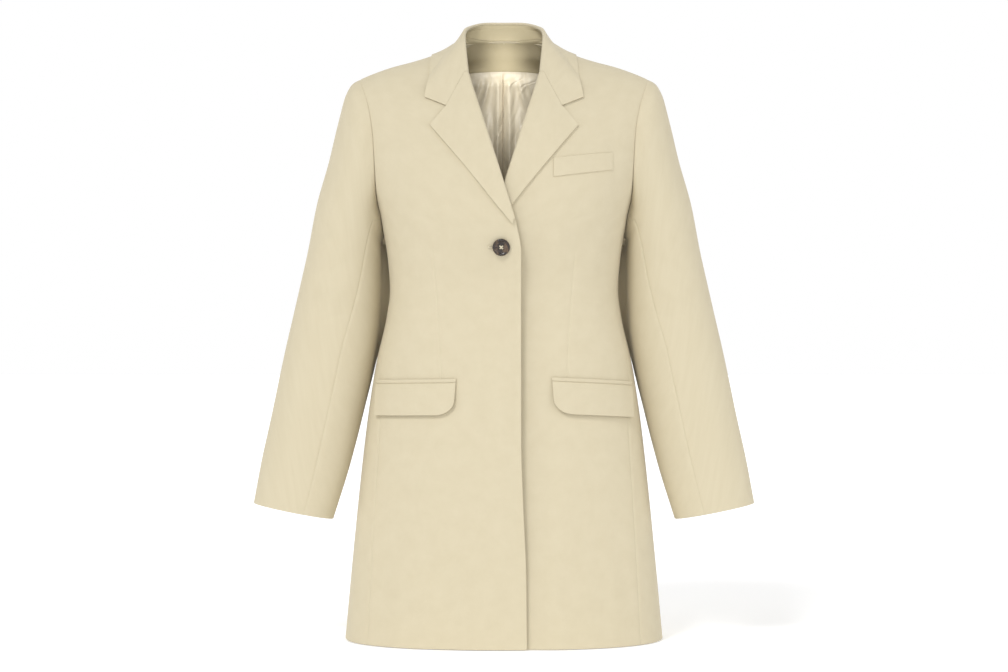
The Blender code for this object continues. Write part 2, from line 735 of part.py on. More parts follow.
def collar_rows():
    """Key rows of the collar's fall, face and reverse, from the gorge to centre back."""
    side = -1
    along = roll_direction(side)
    roll_x = smooth(ROLL_LINE, "z", "x", GORGE_LEVEL)
    point, inward, normal = fold_frame(roll_x, GORGE_LEVEL, along, side)
    centre = point + normal * SEAM_GAP - inward * FOLD_RADIUS
    arc, facing = fold_arc(centre, inward, normal, FOLD_RADIUS, FOLD_START, FOLD_END)
    chord_x = roll_x + (COLLAR_TIP[0] - roll_x) * NOTCH_SHARE
    chord_z = GORGE_LEVEL + (COLLAR_TIP[1] - GORGE_LEVEL) * NOTCH_SHARE
    bend = (NOTCH[0] - chord_x, NOTCH[1] - chord_z)
    start = (roll_x + FOLD_RADIUS, GORGE_LEVEL)
    points, normals = chest_row(start, COLLAR_TIP, bend, FOLD_RADIUS, side)
    faces = [arc + points]
    reverses = [[p - n * CLOTH for p, n in zip(arc + points, facing + normals)]]
    for row in COLLAR:
        inward = Vector((row.in_x, row.in_y, 0)).normalized()
        upward = Vector((row.up_x, row.up_y, row.up_z)).normalized()
        centre = Vector((row.x, row.y, row.z))
        arc, facing = fold_arc(centre, inward, upward, NECK_FOLD_RADIUS, NECK_FOLD_START, row.turn)
        edge, edge_normal = collar_edge(row)
        points, normals = [], []
        for share in steps(0, 1, COLLAR_COLUMNS)[1:]:
            bow = row.bow * math.sin(math.pi * share)
            direction = facing[-1].lerp(edge_normal, share).normalized()
            points.append(arc[-1].lerp(edge, share) + direction * bow)
            normals.append(direction)
        faces.append(arc + points)
        reverses.append([p - n * CLOTH for p, n in zip(arc + points, facing + normals)])
    return faces, reverses


def resting_level(x, y):
    """The height of the shoulder cloth under a point of the plan."""
    high = smooth(SHOULDER_RIDGE, "x", "z", abs(x))
    low = high - 0.16
    for _ in range(24):
        middle = (high + low) / 2
        if torso_depth(x, middle, back=y > 0) > abs(y):
            low = middle
        else:
            high = middle
    return low


def rest_on_coat(faces, reverses):
    """Raise the fall where its reverse would come below the cloth that it lies over."""
    for face, reverse in zip(faces[1:], reverses[1:]):
        for index in range(FOLD_STEPS + 1, len(face)):
            point = reverse[index]
            slope = 0.5 + 0.5 * min(abs(point.y) / 0.05, 1.0)
            level = resting_level(point.x, point.y) + COLLAR_REST * (1.0 + slope)
            if point.z < level:
                lift = Vector((0, 0, level - point.z))
                face[index] = face[index] + lift
                reverse[index] = point + lift


def build_collar_fall(name, finish, collection):
    """The collar's turned-down fall, from one gorge round the neck to the other."""
    faces, reverses = [blend_rows(rows, 3) for rows in collar_rows()]
    rest_on_coat(faces, reverses)
    halves = []
    for half in (faces, reverses):
        whole = [[mirrored(p, -1) for p in row] for row in half[:-1]] + half[::-1]
        halves.append(whole)
    return wall(name, halves[0], halves[1], finish, collection)


def neck_seam_points():
    """Places along the neck seam from the front round to centre back."""
    points = []
    for z in (-0.026, -0.014, -0.003):
        points.append(torso_point(front_inner_edge(z, 1), z))
    for x in (0.0675, 0.056, 0.030, 0.0):
        points.append(torso_point(x, neckline_level(x), back=True))
    return points


def build_collar_stand(name, finish, collection):
    """The collar's stand, from the neck seam up to the fold."""
    faces, reverses = collar_rows()
    fold_ends = []
    for face, reverse in zip(faces, reverses):
        onward = (face[0] - face[1]).normalized() * STAND_GAP
        fold_ends.append([face[0] + onward, reverse[0] + onward])
    tops = blend_rows(fold_ends, 8)
    seam = blend_rows([[point] for point in neck_seam_points()], 8)
    outer_rows, inner_rows = [], []
    for share in steps(0, 1, 20):
        seam_place = seam[round(share * (len(seam) - 1))][0]
        top, reverse_top = tops[round((STAND_START + (1 - STAND_START) * share) * (len(tops) - 1))]
        outward = Vector((seam_place.x, seam_place.y, 0)).normalized()
        lift = STAND_FRONT_LIFT + (STAND_BACK_LIFT - STAND_FRONT_LIFT) * ease(0.40, 0.60, share)
        reverse_low = seam_place + Vector((0, 0, lift))
        face_low = reverse_low - outward * CLOTH
        outer_rows.append([top, top.lerp(face_low, 0.5), face_low])
        inner_rows.append([reverse_top, reverse_top.lerp(reverse_low, 0.5), reverse_low])
    halves = []
    for half in (outer_rows, inner_rows):
        halves.append([[mirrored(p, -1) for p in row] for row in half[:-1]] + half[::-1])
    return wall(name, halves[0], halves[1], finish, collection)


# ---------------------------------------------------------------- inside the back

def inside_normal(x, z):
    """The back's outward normal at a place of the back view."""
    along = torso_point(x + STEP, z, True) - torso_point(x - STEP, z, True)
    across = torso_point(x, z + STEP, True) - torso_point(x, z - STEP, True)
    normal = along.cross(across).normalized()
    return normal if normal.y > 0 else -normal


def build_neck_facing(name, finish, collection):
    """The cloth facing inside the back neck, from shoulder seam to shoulder seam."""
    points, normals = [], []
    for share in steps(0, 1, 4):
        row, directions = [], []
        for x in steps(-FACING_HALF_WIDTH, FACING_HALF_WIDTH, 16):
            top = neckline_level(abs(x)) - 0.0040 * ease(0.030, 0.056, abs(x))
            bottom = FACING_LEVEL - FACING_CURVE * (x / FACING_HALF_WIDTH) ** 2
            z = bottom + (top - bottom) * share
            row.append(torso_point(x, z, True))
            directions.append(inside_normal(x, z))
        points.append(row)
        normals.append(directions)
    offset = -(CLOTH + LINED_GAP)
    return laid_wall(name, points, normals, offset, LIGHT_CLOTH, finish, collection)


def build_back_lining(name, finish, collection):
    """The half lining under the facing, with a pleat down its centre for ease."""
    points, normals = [], []
    across = [-0.95, -0.78, -0.6, -0.42, -0.27, -0.15, -0.075, -0.035, -0.012,
              0.006, 0.018, 0.05, 0.15, 0.27, 0.42, 0.6, 0.78, 0.95]
    for share in steps(0, 1, 9):
        row, directions = [], []
        for place in across:
            x = place * (LINING_HALF_WIDTH - LINING_TAPER * ease(0.55, 1.0, share))
            top = FACING_LEVEL - 0.0010 - FACING_CURVE * (x / FACING_HALF_WIDTH) ** 2
            z = LINING_HEM_LEVEL + (top - LINING_HEM_LEVEL) * share
            normal = inside_normal(x, z)
            pleat = PLEAT_HEIGHT * math.exp(-((x - PLEAT_OUT) / PLEAT_WIDTH) ** 2)
            row.append(torso_point(x, z, True) - normal * pleat)
            directions.append(normal)
        points.append(row)
        normals.append(directions)
    offset = -(CLOTH + LINED_GAP)
    return laid_wall(name, points, normals, offset, LIGHT_CLOTH, finish, collection)


# ---------------------------------------------------------------- pockets

def pocket_angle_row(count):
    """Angles along a hip pocket, from its front end to its rear end round the side."""
    half_width = smooth(TORSO, "z", "half_width", FLAP_TOP_LEVEL)
    start = math.degrees(math.asin(FLAP_FRONT_OUT / half_width))
    return steps(start, FLAP_REAR_ANGLE, count)


def skirt_frame(angle, z, side):
    """A point round the skirt with its outward normal."""
    point = around(angle, z)
    along = around(angle + 0.05, z) - around(angle - 0.05, z)
    across = around(angle, z + STEP) - around(angle, z - STEP)
    normal = along.cross(across).normalized()
    if normal.dot(Vector((point.x, point.y, 0))) < 0:
        normal = -normal
    return point + normal * front_lift(point.x, z, side), normal


def build_flap(name, side, finish, collection):
    """A pocket flap with a rounded front lower corner, hung from under the jet."""
    angles = pocket_angle_row(POCKET_COLUMNS)
    points, normals = [], []
    for drop in (0.0, 0.25, 0.5, 0.7, 0.85, 0.95, 1.0):
        row, directions = [], []
        for angle in angles:
            corner = max(1.0 - (angle - angles[0]) / FLAP_CORNER_ANGLE, 0.0)
            rounding = FLAP_CORNER * (1.0 - math.sqrt(max(1.0 - corner ** 2, 0.0)))
            height = FLAP_HEIGHT - rounding
            z = FLAP_TOP_LEVEL - JET_HEIGHT - SEAM_GAP - height * drop
            point, normal = skirt_frame(angle, z, side)
            row.append(point + normal * POCKET_GAP * drop)
            directions.append(normal)
        points.append(row)
        normals.append(directions)
    return laid_wall(name, points, normals, POCKET_GAP + CLOTH, CLOTH, finish, collection, side)


def build_jet(name, side, finish, collection):
    """The narrow jet along a flap's top."""
    angles = pocket_angle_row(POCKET_COLUMNS)
    points, normals = [], []
    for drop in (0.0, 0.5, 1.0):
        row = [skirt_frame(angle, FLAP_TOP_LEVEL - JET_HEIGHT * drop, side) for angle in angles]
        points.append([point for point, normal in row])
        normals.append([normal for point, normal in row])
    offset = POCKET_GAP + JET_CLOTH
    return laid_wall(name, points, normals, offset, JET_CLOTH, finish, collection, side)


def build_chest_welt(name, finish, collection):
    """The slanted welt of the breast pocket on the wearer's left."""
    low_in, low_out, high_out, high_in = WELT_CORNERS
    points, normals = [], []
    for up in steps(0, 1, 3):
        row, directions = [], []
        for out in steps(0, 1, 7):
            low_z = low_in[1] + (low_out[1] - low_in[1]) * out
            high_z = high_in[1] + (high_out[1] - high_in[1]) * out
            x = low_in[0] + (low_out[0] - low_in[0]) * out
            point, normal = chest_frame(x, low_z + (high_z - low_z) * up, 1)
            row.append(point)
            directions.append(normal)
        points.append(row)
        normals.append(directions)
    offset = LAID_ON_GAP + WELT_CLOTH
    return laid_wall(name, points, normals, offset, WELT_CLOTH, finish, collection)


# ---------------------------------------------------------------- button

def build_cylinder(name, radius, depth, matrix, collection, vertices=16):
    """A plain cylinder in the frame of a matrix."""
    form = bmesh.new()
    bmesh.ops.create_cone(form, cap_ends=True, segments=vertices, radius1=radius, radius2=radius,
                          depth=depth, matrix=matrix)
    mesh = bpy.data.meshes.new(name)
    form.to_mesh(mesh)
    form.free()
    piece = bpy.data.objects.new(name, mesh)
    collection.objects.link(piece)
    return piece


def hide_cutter(piece):
    """Keep a cutter out of the picture."""
    piece.hide_render = True
    piece.display_type = "WIRE"


def button_frame():
    """The button's place over the lapping front, with its axis along the cloth's normal."""
    point, normal = chest_frame(BUTTON_OUT, BUTTON_LEVEL, -1)
    turn = normal.to_track_quat("Z", "Y").to_matrix().to_4x4()
    turn.translation = point
    return point, normal, turn


def build_button(name, finish, collection, cutters):
    """A turned four-hole button with a raised rim and a dished middle."""
    point, normal, frame = button_frame()
    form = bmesh.new()
    verts = [form.verts.new((row.radius, 0.0, row.height)) for row in BUTTON_OUTLINE]
    for start, end in zip(verts, verts[1:]):
        form.edges.new((start, end))
    bmesh.ops.spin(form, geom=form.verts[:] + form.edges[:], axis=(0, 0, 1), cent=(0, 0, 0),
                   angle=math.tau, steps=BUTTON_SEGMENTS, use_duplicate=False)
    bmesh.ops.remove_doubles(form, verts=form.verts, dist=0.00001)
    bmesh.ops.recalc_face_normals(form, faces=form.faces)
    stand_off = frame.copy()
    stand_off.translation = point + normal * BUTTON_STAND_OFF
    bmesh.ops.transform(form, matrix=stand_off, verts=form.verts)
    mesh = bpy.data.meshes.new(name)
    form.to_mesh(mesh)
    form.free()
    button = add_object(name, mesh, finish, collection, angle=50.0)
    for index, (right, up) in enumerate(((1, 1), (-1, 1), (-1, -1), (1, -1))):
        hole = frame.copy()
        spread = Vector((right * BUTTON_HOLE_SPREAD, up * BUTTON_HOLE_SPREAD, 0.003))
        hole.translation = point + frame.to_3x3() @ spread
        cutter = build_cylinder("button_hole_%d" % index, BUTTON_HOLE_RADIUS, 0.02, hole, cutters, 10)
        hide_cutter(cutter)
        cut = button.modifiers.new("hole", "BOOLEAN")
        cut.object = cutter
    return button


def build_shank(name, finish, collection):
    """The thread shank from the under front through the buttonhole to the button's back."""
    point, normal, frame = button_frame()
    under_point, under_normal = chest_frame(-BUTTON_OUT, BUTTON_LEVEL, 1)
    reach = (point - mirrored(under_point, -1)).dot(normal)
    low, high = SHANK_CLEAR - reach, SHANK_TOP
    frame.translation = point + normal * (low + high) / 2
    shank = build_cylinder(name, SHANK_RADIUS, high - low, frame, collection, 12)
    shank.data.materials.append(finish)
    return shank


def cut_buttonhole(front, cutters):
    """The worked slit that the shank passes through."""
    point, normal, frame = button_frame()
    form = bmesh.new()
    bmesh.ops.create_cube(form, size=1.0)
    length = BUTTONHOLE_ENDS[1] - BUTTONHOLE_ENDS[0]
    middle = (BUTTONHOLE_ENDS[0] + BUTTONHOLE_ENDS[1]) / 2
    bmesh.ops.scale(form, vec=(length, 0.02, BUTTONHOLE_HEIGHT), verts=form.verts)
    bmesh.ops.translate(form, vec=(middle, point.y, BUTTON_LEVEL), verts=form.verts)
    mesh = bpy.data.meshes.new("buttonhole")
    form.to_mesh(mesh)
    form.free()
    cutter = bpy.data.objects.new("buttonhole", mesh)
    cutters.objects.link(cutter)
    hide_cutter(cutter)
    cut = front.modifiers.new("buttonhole", "BOOLEAN")
    cut.object = cutter


# ---------------------------------------------------------------- the coat

for old in list(bpy.data.objects):
    bpy.data.objects.remove(old)

coat = bpy.data.collections.new("overcoat")
cutters = bpy.data.collections.new("cutters")
bpy.context.scene.collection.children.link(coat)
bpy.context.scene.collection.children.link(cutters)

twill = material("cotton twill", COAT_COLOUR, 0.85)
satin = material("lining satin", LINING_COLOUR, 0.45)
horn = material("dark horn", HORN_COLOUR, 0.25)
thread = material("thread", THREAD_COLOUR, 0.80)

for word, side in (("right", -1), ("left", 1)):
    front = build_front("front_" + word, side, twill, coat)
    if side < 0:
        cut_buttonhole(front, cutters)
    build_side("side_" + word, side, twill, coat)
    build_back("back_" + word, side, twill, coat)
    build_sleeve("sleeve_top_" + word, side, False, twill, coat)
    build_sleeve("sleeve_under_" + word, side, True, twill, coat)
    build_lapel("lapel_" + word, side, twill, coat)
    build_flap("pocket_flap_" + word, side, twill, coat)
    build_jet("pocket_jet_" + word, side, twill, coat)

build_collar_fall("collar_fall", twill, coat)
build_collar_stand("collar_stand", twill, coat)
build_neck_facing("neck_facing", twill, coat)
build_back_lining("back_lining", satin, coat)
build_chest_welt("chest_welt", twill, coat)
build_button("button", horn, coat, cutters)
build_shank("button_shank", thread, coat)
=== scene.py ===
import math
from collections import namedtuple

import bpy
import numpy as np
from mathutils import Matrix


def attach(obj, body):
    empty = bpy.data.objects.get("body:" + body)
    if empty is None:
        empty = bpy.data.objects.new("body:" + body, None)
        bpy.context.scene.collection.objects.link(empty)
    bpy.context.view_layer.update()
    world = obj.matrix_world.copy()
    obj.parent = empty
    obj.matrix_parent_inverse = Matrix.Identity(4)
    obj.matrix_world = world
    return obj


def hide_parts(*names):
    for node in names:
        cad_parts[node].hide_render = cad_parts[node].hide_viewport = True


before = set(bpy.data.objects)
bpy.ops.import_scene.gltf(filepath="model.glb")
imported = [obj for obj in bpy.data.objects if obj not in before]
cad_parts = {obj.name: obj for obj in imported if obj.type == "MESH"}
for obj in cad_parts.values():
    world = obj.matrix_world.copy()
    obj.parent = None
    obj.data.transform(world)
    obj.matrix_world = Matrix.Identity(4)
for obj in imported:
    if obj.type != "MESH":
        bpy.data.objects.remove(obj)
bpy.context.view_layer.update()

# ---------------------------------------------------------------- camera
# The coat is seen straight on from 3 m, the camera level with its waist, as in a studio.
CAMERA_DISTANCE = 3.0
CAMERA_LEVEL = -0.406
CAMERA_LENS = 75.45
CAMERA_SENSOR = 36.0

camera_data = bpy.data.cameras.new("camera")
camera_data.lens = CAMERA_LENS
camera_data.sensor_width = CAMERA_SENSOR
camera = bpy.data.objects.new("camera", camera_data)
camera.location = (0.0, -CAMERA_DISTANCE, CAMERA_LEVEL)
camera.rotation_euler = (math.pi / 2, 0.0, 0.0)
bpy.context.scene.collection.objects.link(camera)
bpy.context.scene.camera = camera

# ---------------------------------------------------------------- fronts
# The two fronts of a tailored coat, cut from a brushed cotton twill.  The wearer's right laps over
# the left; each is shaped by a dart from the bust to the pocket, and its edges are turned in.
HEM_LEVEL = -0.832
UNDERARM_LEVEL = -0.238
NECK_POINT_OUT = 0.068
NECK_POINT_LEVEL = 0.008
SHOULDER_POINT_OUT = 0.204
FRONT_FALL = 0.24
BACK_FALL = 0.18
SECTION_POWER = 2.4
CLOTH = 0.0020
STEP = 0.0005
LAP = 0.024
BREAK_LEVEL = -0.248
ROLL_INSET = 0.0055
OVER_LIFT = 0.0016
UNDER_LIFT = -0.0042
BREAK_LIFT = 0.0030
EDGE_LIFT = 0.0064
LAP_REACH = (0.030, 0.080)
LAP_TOP = (-0.190, -0.090)
BREAK_FOOT = (-0.330, -0.270)
BREAK_TOP = (-0.190, -0.110)
EDGE_REACH = (-0.026, 0.012)
EDGE_FOOT = (-0.840, -0.500)
EDGE_TOP = (-0.300, -0.262)
SEAM_DEPTH = 0.00050
SEAM_WIDTH = 0.0013
DART_DEPTH = 0.0006
DART_WIDTH = 0.0016
DART_FADE = 0.030
DART_FOOT_FADE = 0.004
EDGE_ROUNDING = 0.38
TURN_LENGTH = 0.0033
SEAM_STEPS = np.array((0.0, 0.0015, 0.004, 0.007, 0.011))

TorsoRing = namedtuple("TorsoRing", "z half_width front back")
TORSO = [
    TorsoRing(0.030, 0.250, 0.094, 0.098),
    TorsoRing(-0.050, 0.240, 0.104, 0.104),
    TorsoRing(-0.120, 0.212, 0.118, 0.111),
    TorsoRing(-0.190, 0.192, 0.128, 0.108),
    TorsoRing(-0.238, 0.1755, 0.128, 0.100),
    TorsoRing(-0.300, 0.1645, 0.116, 0.085),
    TorsoRing(-0.341, 0.1617, 0.108, 0.078),
    TorsoRing(-0.380, 0.1665, 0.106, 0.083),
    TorsoRing(-0.440, 0.1800, 0.111, 0.099),
    TorsoRing(-0.500, 0.1900, 0.117, 0.113),
    TorsoRing(-0.570, 0.1990, 0.122, 0.121),
    TorsoRing(-0.700, 0.2125, 0.129, 0.125),
    TorsoRing(-0.832, 0.2245, 0.136, 0.129),
]
Ridge = namedtuple("Ridge", "x z")
SHOULDER_RIDGE = [
    Ridge(-0.020, 0.0333),
    Ridge(0.000, 0.0360),
    Ridge(0.020, 0.0333),
    Ridge(0.040, 0.0250),
    Ridge(0.055, 0.0156),
    Ridge(0.068, 0.0080),
    Ridge(0.090, -0.0045),
    Ridge(0.125, -0.0165),
    Ridge(0.159, -0.0255),
    Ridge(0.185, -0.0345),
    Ridge(0.204, -0.0425),
    Ridge(0.250, -0.0640),
]
Seam = namedtuple("Seam", "z front_angle back_angle")
SEAMS = [
    Seam(-0.238, 81.0, 105.0),
    Seam(-0.300, 78.5, 108.0),
    Seam(-0.380, 77.0, 110.0),
    Seam(-0.440, 74.0, 111.0),
    Seam(-0.500, 66.5, 112.0),
    Seam(-0.540, 62.5, 112.5),
    Seam(-0.650, 60.0, 113.0),
    Seam(-0.832, 57.5, 114.0),
]
Armhole = namedtuple("Armhole", "z front back")
ARMHOLE = [
    Armhole(-0.0425, 0.2040, 0.2040),
    Armhole(-0.0870, 0.1895, 0.1930),
    Armhole(-0.1220, 0.1835, 0.1875),
    Armhole(-0.1680, 0.1805, 0.1850),
    Armhole(-0.2130, 0.1785, 0.1790),
    Armhole(-0.2380, 0.1733, 0.1695),
]
Roll = namedtuple("Roll", "z x")
ROLL_LINE = [
    Roll(-0.2484, -0.0163),
    Roll(-0.1370, 0.0185),
    Roll(-0.0406, 0.0486),
    Roll(-0.0150, 0.0556),
    Roll(0.0080, 0.0625),
]
FrontEdge = namedtuple("FrontEdge", "z past_centre")
FRONT_EDGE = [
    FrontEdge(-0.2484, 0.0160),
    FrontEdge(-0.2900, 0.0231),
    FrontEdge(-0.5500, 0.0232),
    FrontEdge(-0.6250, 0.0255),
    FrontEdge(-0.7300, 0.0300),
    FrontEdge(-0.8320, 0.0312),
]
Dart = namedtuple("Dart", "z x")
DART = [
    Dart(-0.274, 0.1000),
    Dart(-0.339, 0.0940),
    Dart(-0.395, 0.0900),
    Dart(-0.471, 0.0860),
]
# Soft folds, each from one place to another: degrees round the coat from centre front and the
# level, then half width, height (a trough is negative) and how far its middle bows aside.  Side 0
# is both halves, 1 the wearer's left, -1 the right.
Fold = namedtuple("Fold", "side start_turn start_z end_turn end_z width height bow")
COAT_FOLDS = [
    Fold(-1, 8, -0.300, 38, -0.216, 0.012, 0.0009, 0.006),
    Fold(-1, 14, -0.318, 52, -0.262, 0.010, -0.0008, 0.004),
    Fold(1, 10, -0.306, 44, -0.222, 0.013, 0.0008, 0.006),
    Fold(1, 20, -0.330, 58, -0.280, 0.010, -0.0007, 0.004),
    Fold(0, 38, -0.090, 60, -0.235, 0.013, -0.0010, -0.006),
    Fold(-1, 60, -0.215, 36, -0.300, 0.013, 0.0009, 0.005),
    Fold(1, 66, -0.225, 44, -0.322, 0.012, 0.0010, 0.005),
    Fold(0, 76, -0.300, 40, -0.350, 0.009, -0.0008, 0.003),
    Fold(-1, 70, -0.372, 30, -0.392, 0.010, 0.0006, 0.002),
    Fold(1, 66, -0.362, 34, -0.380, 0.009, 0.0006, 0.002),
    Fold(-1, 18, -0.520, 20, -0.860, 0.020, -0.0012, 0.006),
    Fold(1, 22, -0.530, 17, -0.860, 0.018, 0.0010, 0.006),
    Fold(-1, 32, -0.545, 34, -0.880, 0.022, 0.0014, -0.005),
    Fold(1, 36, -0.530, 39, -0.880, 0.020, -0.0013, -0.005),
    Fold(0, 50, -0.560, 52, -0.880, 0.018, -0.0015, 0.004),
    Fold(0, 72, -0.480, 76, -0.880, 0.022, 0.0022, 0.004),
    Fold(0, 98, -0.420, 96, -0.880, 0.024, -0.0024, 0.004),
    Fold(0, 124, -0.400, 128, -0.880, 0.026, 0.0026, -0.006),
    Fold(1, 152, -0.420, 150, -0.880, 0.024, -0.0020, 0.006),
    Fold(-1, 149, -0.440, 153, -0.880, 0.026, -0.0022, -0.005),
    Fold(0, 110, -0.310, 160, -0.350, 0.012, 0.0012, 0.004),
    Fold(0, 112, -0.342, 150, -0.374, 0.010, -0.0011, 0.003),
    Fold(0, 122, -0.130, 112, -0.260, 0.014, 0.0016, 0.008),
    Fold(0, 136, -0.110, 124, -0.250, 0.015, -0.0013, 0.006),
]


def curve(table, key, column, at):
    """A column of a table as a smooth curve that keeps between its rows, read at an array."""
    rows = sorted((getattr(row, key), getattr(row, column)) for row in table)
    places, values = np.array(rows).T
    at = np.clip(at, places[0], places[-1])
    widths = np.diff(places)
    slopes = np.diff(values) / widths
    before, after = slopes[:-1], slopes[1:]
    climbing = before * after > 0
    total = np.where(climbing, before + after, 1.0)
    inner = np.where(climbing, 2 * before * after / total, 0.0)
    tangents = np.concatenate((slopes[:1], inner, slopes[-1:]))
    index = np.clip(np.searchsorted(places, at, side="left") - 1, 0, len(widths) - 1)
    t = (at - places[index]) / widths[index]
    rise = (3 - 2 * t) * t * t * (values[index + 1] - values[index])
    bend = (1 - t) * tangents[index] - t * tangents[index + 1]
    return values[index] + rise + t * (1 - t) * widths[index] * bend


def ease(start, end, at):
    """Go smoothly from 0 at one place to 1 at another."""
    t = np.clip((at - start) / (end - start), 0.0, 1.0)
    return t * t * (3 - 2 * t)


def bulge(share):
    """The height of a rounded section at a share of its half width."""
    return np.maximum(1.0 - np.abs(share) ** SECTION_POWER, 0.0) ** (1.0 / SECTION_POWER)


def torso(x, z, back=False):
    """Points of the coat's outside at places of its front or back view."""
    half_width = curve(TORSO, "z", "half_width", z)
    depth = np.where(back, curve(TORSO, "z", "back", z), -curve(TORSO, "z", "front", z))
    drop = curve(SHOULDER_RIDGE, "x", "z", np.abs(x)) - z
    fallen = np.clip(drop / np.where(back, BACK_FALL, FRONT_FALL), 0.0, 1.0)
    y = depth * bulge(x / half_width) * bulge(1.0 - fallen)
    return np.stack(np.broadcast_arrays(x, y, z), axis=-1)


def unit(vectors):
    """Vectors made one long."""
    return vectors / np.maximum(np.linalg.norm(vectors, axis=-1, keepdims=True), 1e-12)


def towards(normals, outward):
    """Normals turned to the side that a direction is on."""
    return normals * np.where(np.sum(normals * outward, axis=-1, keepdims=True) < 0, -1.0, 1.0)


def grid_normals(points, outward):
    """The way that a grid of points faces."""
    across, along = np.gradient(points, axis=1), np.gradient(points, axis=0)
    return towards(unit(np.cross(across, along)), outward)


def folds(table, turn, z, side, turn_length=TURN_LENGTH):
    """The height of a table's soft folds at turns and levels."""
    height = np.zeros(np.broadcast(turn, z).shape)
    for fold in table:
        if fold.side not in (0, side):
            continue
        run_a = (fold.end_turn - fold.start_turn) * turn_length
        run_b = fold.end_z - fold.start_z
        off_a, off_b = (turn - fold.start_turn) * turn_length, z - fold.start_z
        length = math.hypot(run_a, run_b)
        along = (off_a * run_a + off_b * run_b) / length ** 2
        aside = (off_a * run_b - off_b * run_a) / length - fold.bow * 4 * along * (1 - along)
        fade = np.maximum(1 - (2 * along - 1) ** 2, 0.0) ** 2
        height = height + fold.height * np.exp(-(aside / fold.width) ** 2) * fade
    return height


def flat_places(points):
    """How far along its row and its column of the cloth each point of a grid lies."""
    across = np.cumsum(np.linalg.norm(np.diff(points, axis=1), axis=2), axis=1)
    along = np.cumsum(np.linalg.norm(np.diff(points, axis=0), axis=2), axis=0)
    return np.pad(across, ((0, 0), (1, 0))), np.pad(along, ((1, 0), (0, 0)))


def edge_distance(points, sides):
    """How far each point of a grid lies from the nearest of some of its sides."""
    across, along = flat_places(points)
    distances = {
        "first column": across,
        "last column": across[:, -1:] - across,
        "first row": along,
        "last row": along[-1:] - along,
    }
    return np.min([distances[side] for side in sides], axis=0)


def sewn(points, normals, sides):
    """The grid let in a little along its sewn sides."""
    dip = SEAM_DEPTH * np.exp(-(edge_distance(points, sides) / SEAM_WIDTH) ** 2)
    return points - normals * dip[..., None]


def shares(count, sewn_first=False, sewn_last=False):
    """Shares from 0 to 1, closer together by a sewn edge."""
    first = SEAM_STEPS if sewn_first else np.zeros(1)
    last = 1 - SEAM_STEPS[::-1] if sewn_last else np.ones(1)
    return np.concatenate((first, np.linspace(first[-1], last[0], count)[1:-1], last))


def front_lift(x, z, side):
    """How far a front stands off the figure where it laps over (-1) or under (1) the other."""
    near_lap = 1.0 - ease(*LAP_REACH, x)
    at_break = ease(*BREAK_FOOT, z) * (1.0 - ease(*BREAK_TOP, z))
    fading = 1.0 - ease(*LAP_TOP, z)
    if side > 0:
        return near_lap * UNDER_LIFT * fading
    at_edge = (1.0 - ease(*EDGE_REACH, x)) * ease(*EDGE_FOOT, z) * (1.0 - ease(*EDGE_TOP, z))
    return near_lap * (OVER_LIFT * fading + BREAK_LIFT * at_break) + EDGE_LIFT * at_edge


def round_from_front(x, z):
    """How far round the coat a place of the front view is, in degrees."""
    return np.degrees(np.arcsin(np.clip(x / curve(TORSO, "z", "half_width", z), -1.0, 1.0)))


def front_height(x, z, side):
    """How far a front's face stands off the plain form."""
    return front_lift(x, z, side) + folds(COAT_FOLDS, round_from_front(x, z), z, side)


def torso_normal(x, z, back=False):
    """The way that the coat's outside faces at places of a view, turned to the viewer in front."""
    along = torso(x + STEP, z, back) - torso(x - STEP, z, back)
    across = torso(x, z + STEP, back) - torso(x, z - STEP, back)
    return towards(unit(np.cross(along, across)), np.array((0.0, -1.0, 0.0)))


def chest(x, z, side):
    """Points of a front's face at places of the front view, and the way it faces there."""
    normal = torso_normal(x, z)
    return torso(x, z) + normal * front_height(x, z, side)[..., None], normal


def front_place(across, up, side):
    """Places of a front in the front view: across to its side (1), up to its shoulder (2)."""
    low_z = HEM_LEVEL + (UNDERARM_LEVEL - HEM_LEVEL) * np.minimum(up, 1.0)
    share = np.minimum(2.0 - up, 1.0) ** 2
    shoulder = curve(SHOULDER_RIDGE, "x", "z", SHOULDER_POINT_OUT)
    upper = up > 1.0
    outer_z = np.where(upper, shoulder - (shoulder - UNDERARM_LEVEL) * share, low_z)
    inner_z = np.where(upper, NECK_POINT_LEVEL - (NECK_POINT_LEVEL - UNDERARM_LEVEL) * share, low_z)
    half_width = curve(TORSO, "z", "half_width", outer_z)
    side_seam = half_width * np.sin(np.radians(curve(SEAMS, "z", "front_angle", low_z)))
    outer_x = np.where(upper, curve(ARMHOLE, "z", "front", outer_z), side_seam)
    lapping = -curve(FRONT_EDGE, "z", "past_centre", inner_z) if side < 0 else -LAP
    roll = curve(ROLL_LINE, "z", "x", inner_z) + ROLL_INSET
    inner_x = lapping + (roll - lapping) * ease(BREAK_LEVEL, BREAK_LEVEL + 0.008, inner_z)
    start, end = np.arcsin(inner_x / half_width), np.arcsin(outer_x / half_width)
    dart = (np.arcsin(curve(DART, "z", "x", outer_z) / half_width) - start) / (end - start)
    shift = (dart - DART_COLUMN) * (1.0 - ease(0.98, 1.30, up)) / (DART_COLUMN * (1 - DART_COLUMN))
    across = across + shift * across * (1 - across)
    x = half_width * np.sin(start + (end - start) * across)
    reach = (x - inner_x) / (outer_x - inner_x)
    top_x = NECK_POINT_OUT + (SHOULDER_POINT_OUT - NECK_POINT_OUT) * reach
    top_z = curve(SHOULDER_RIDGE, "x", "z", top_x)
    return x, np.where(upper, top_z - (top_z - UNDERARM_LEVEL) * share, outer_z)


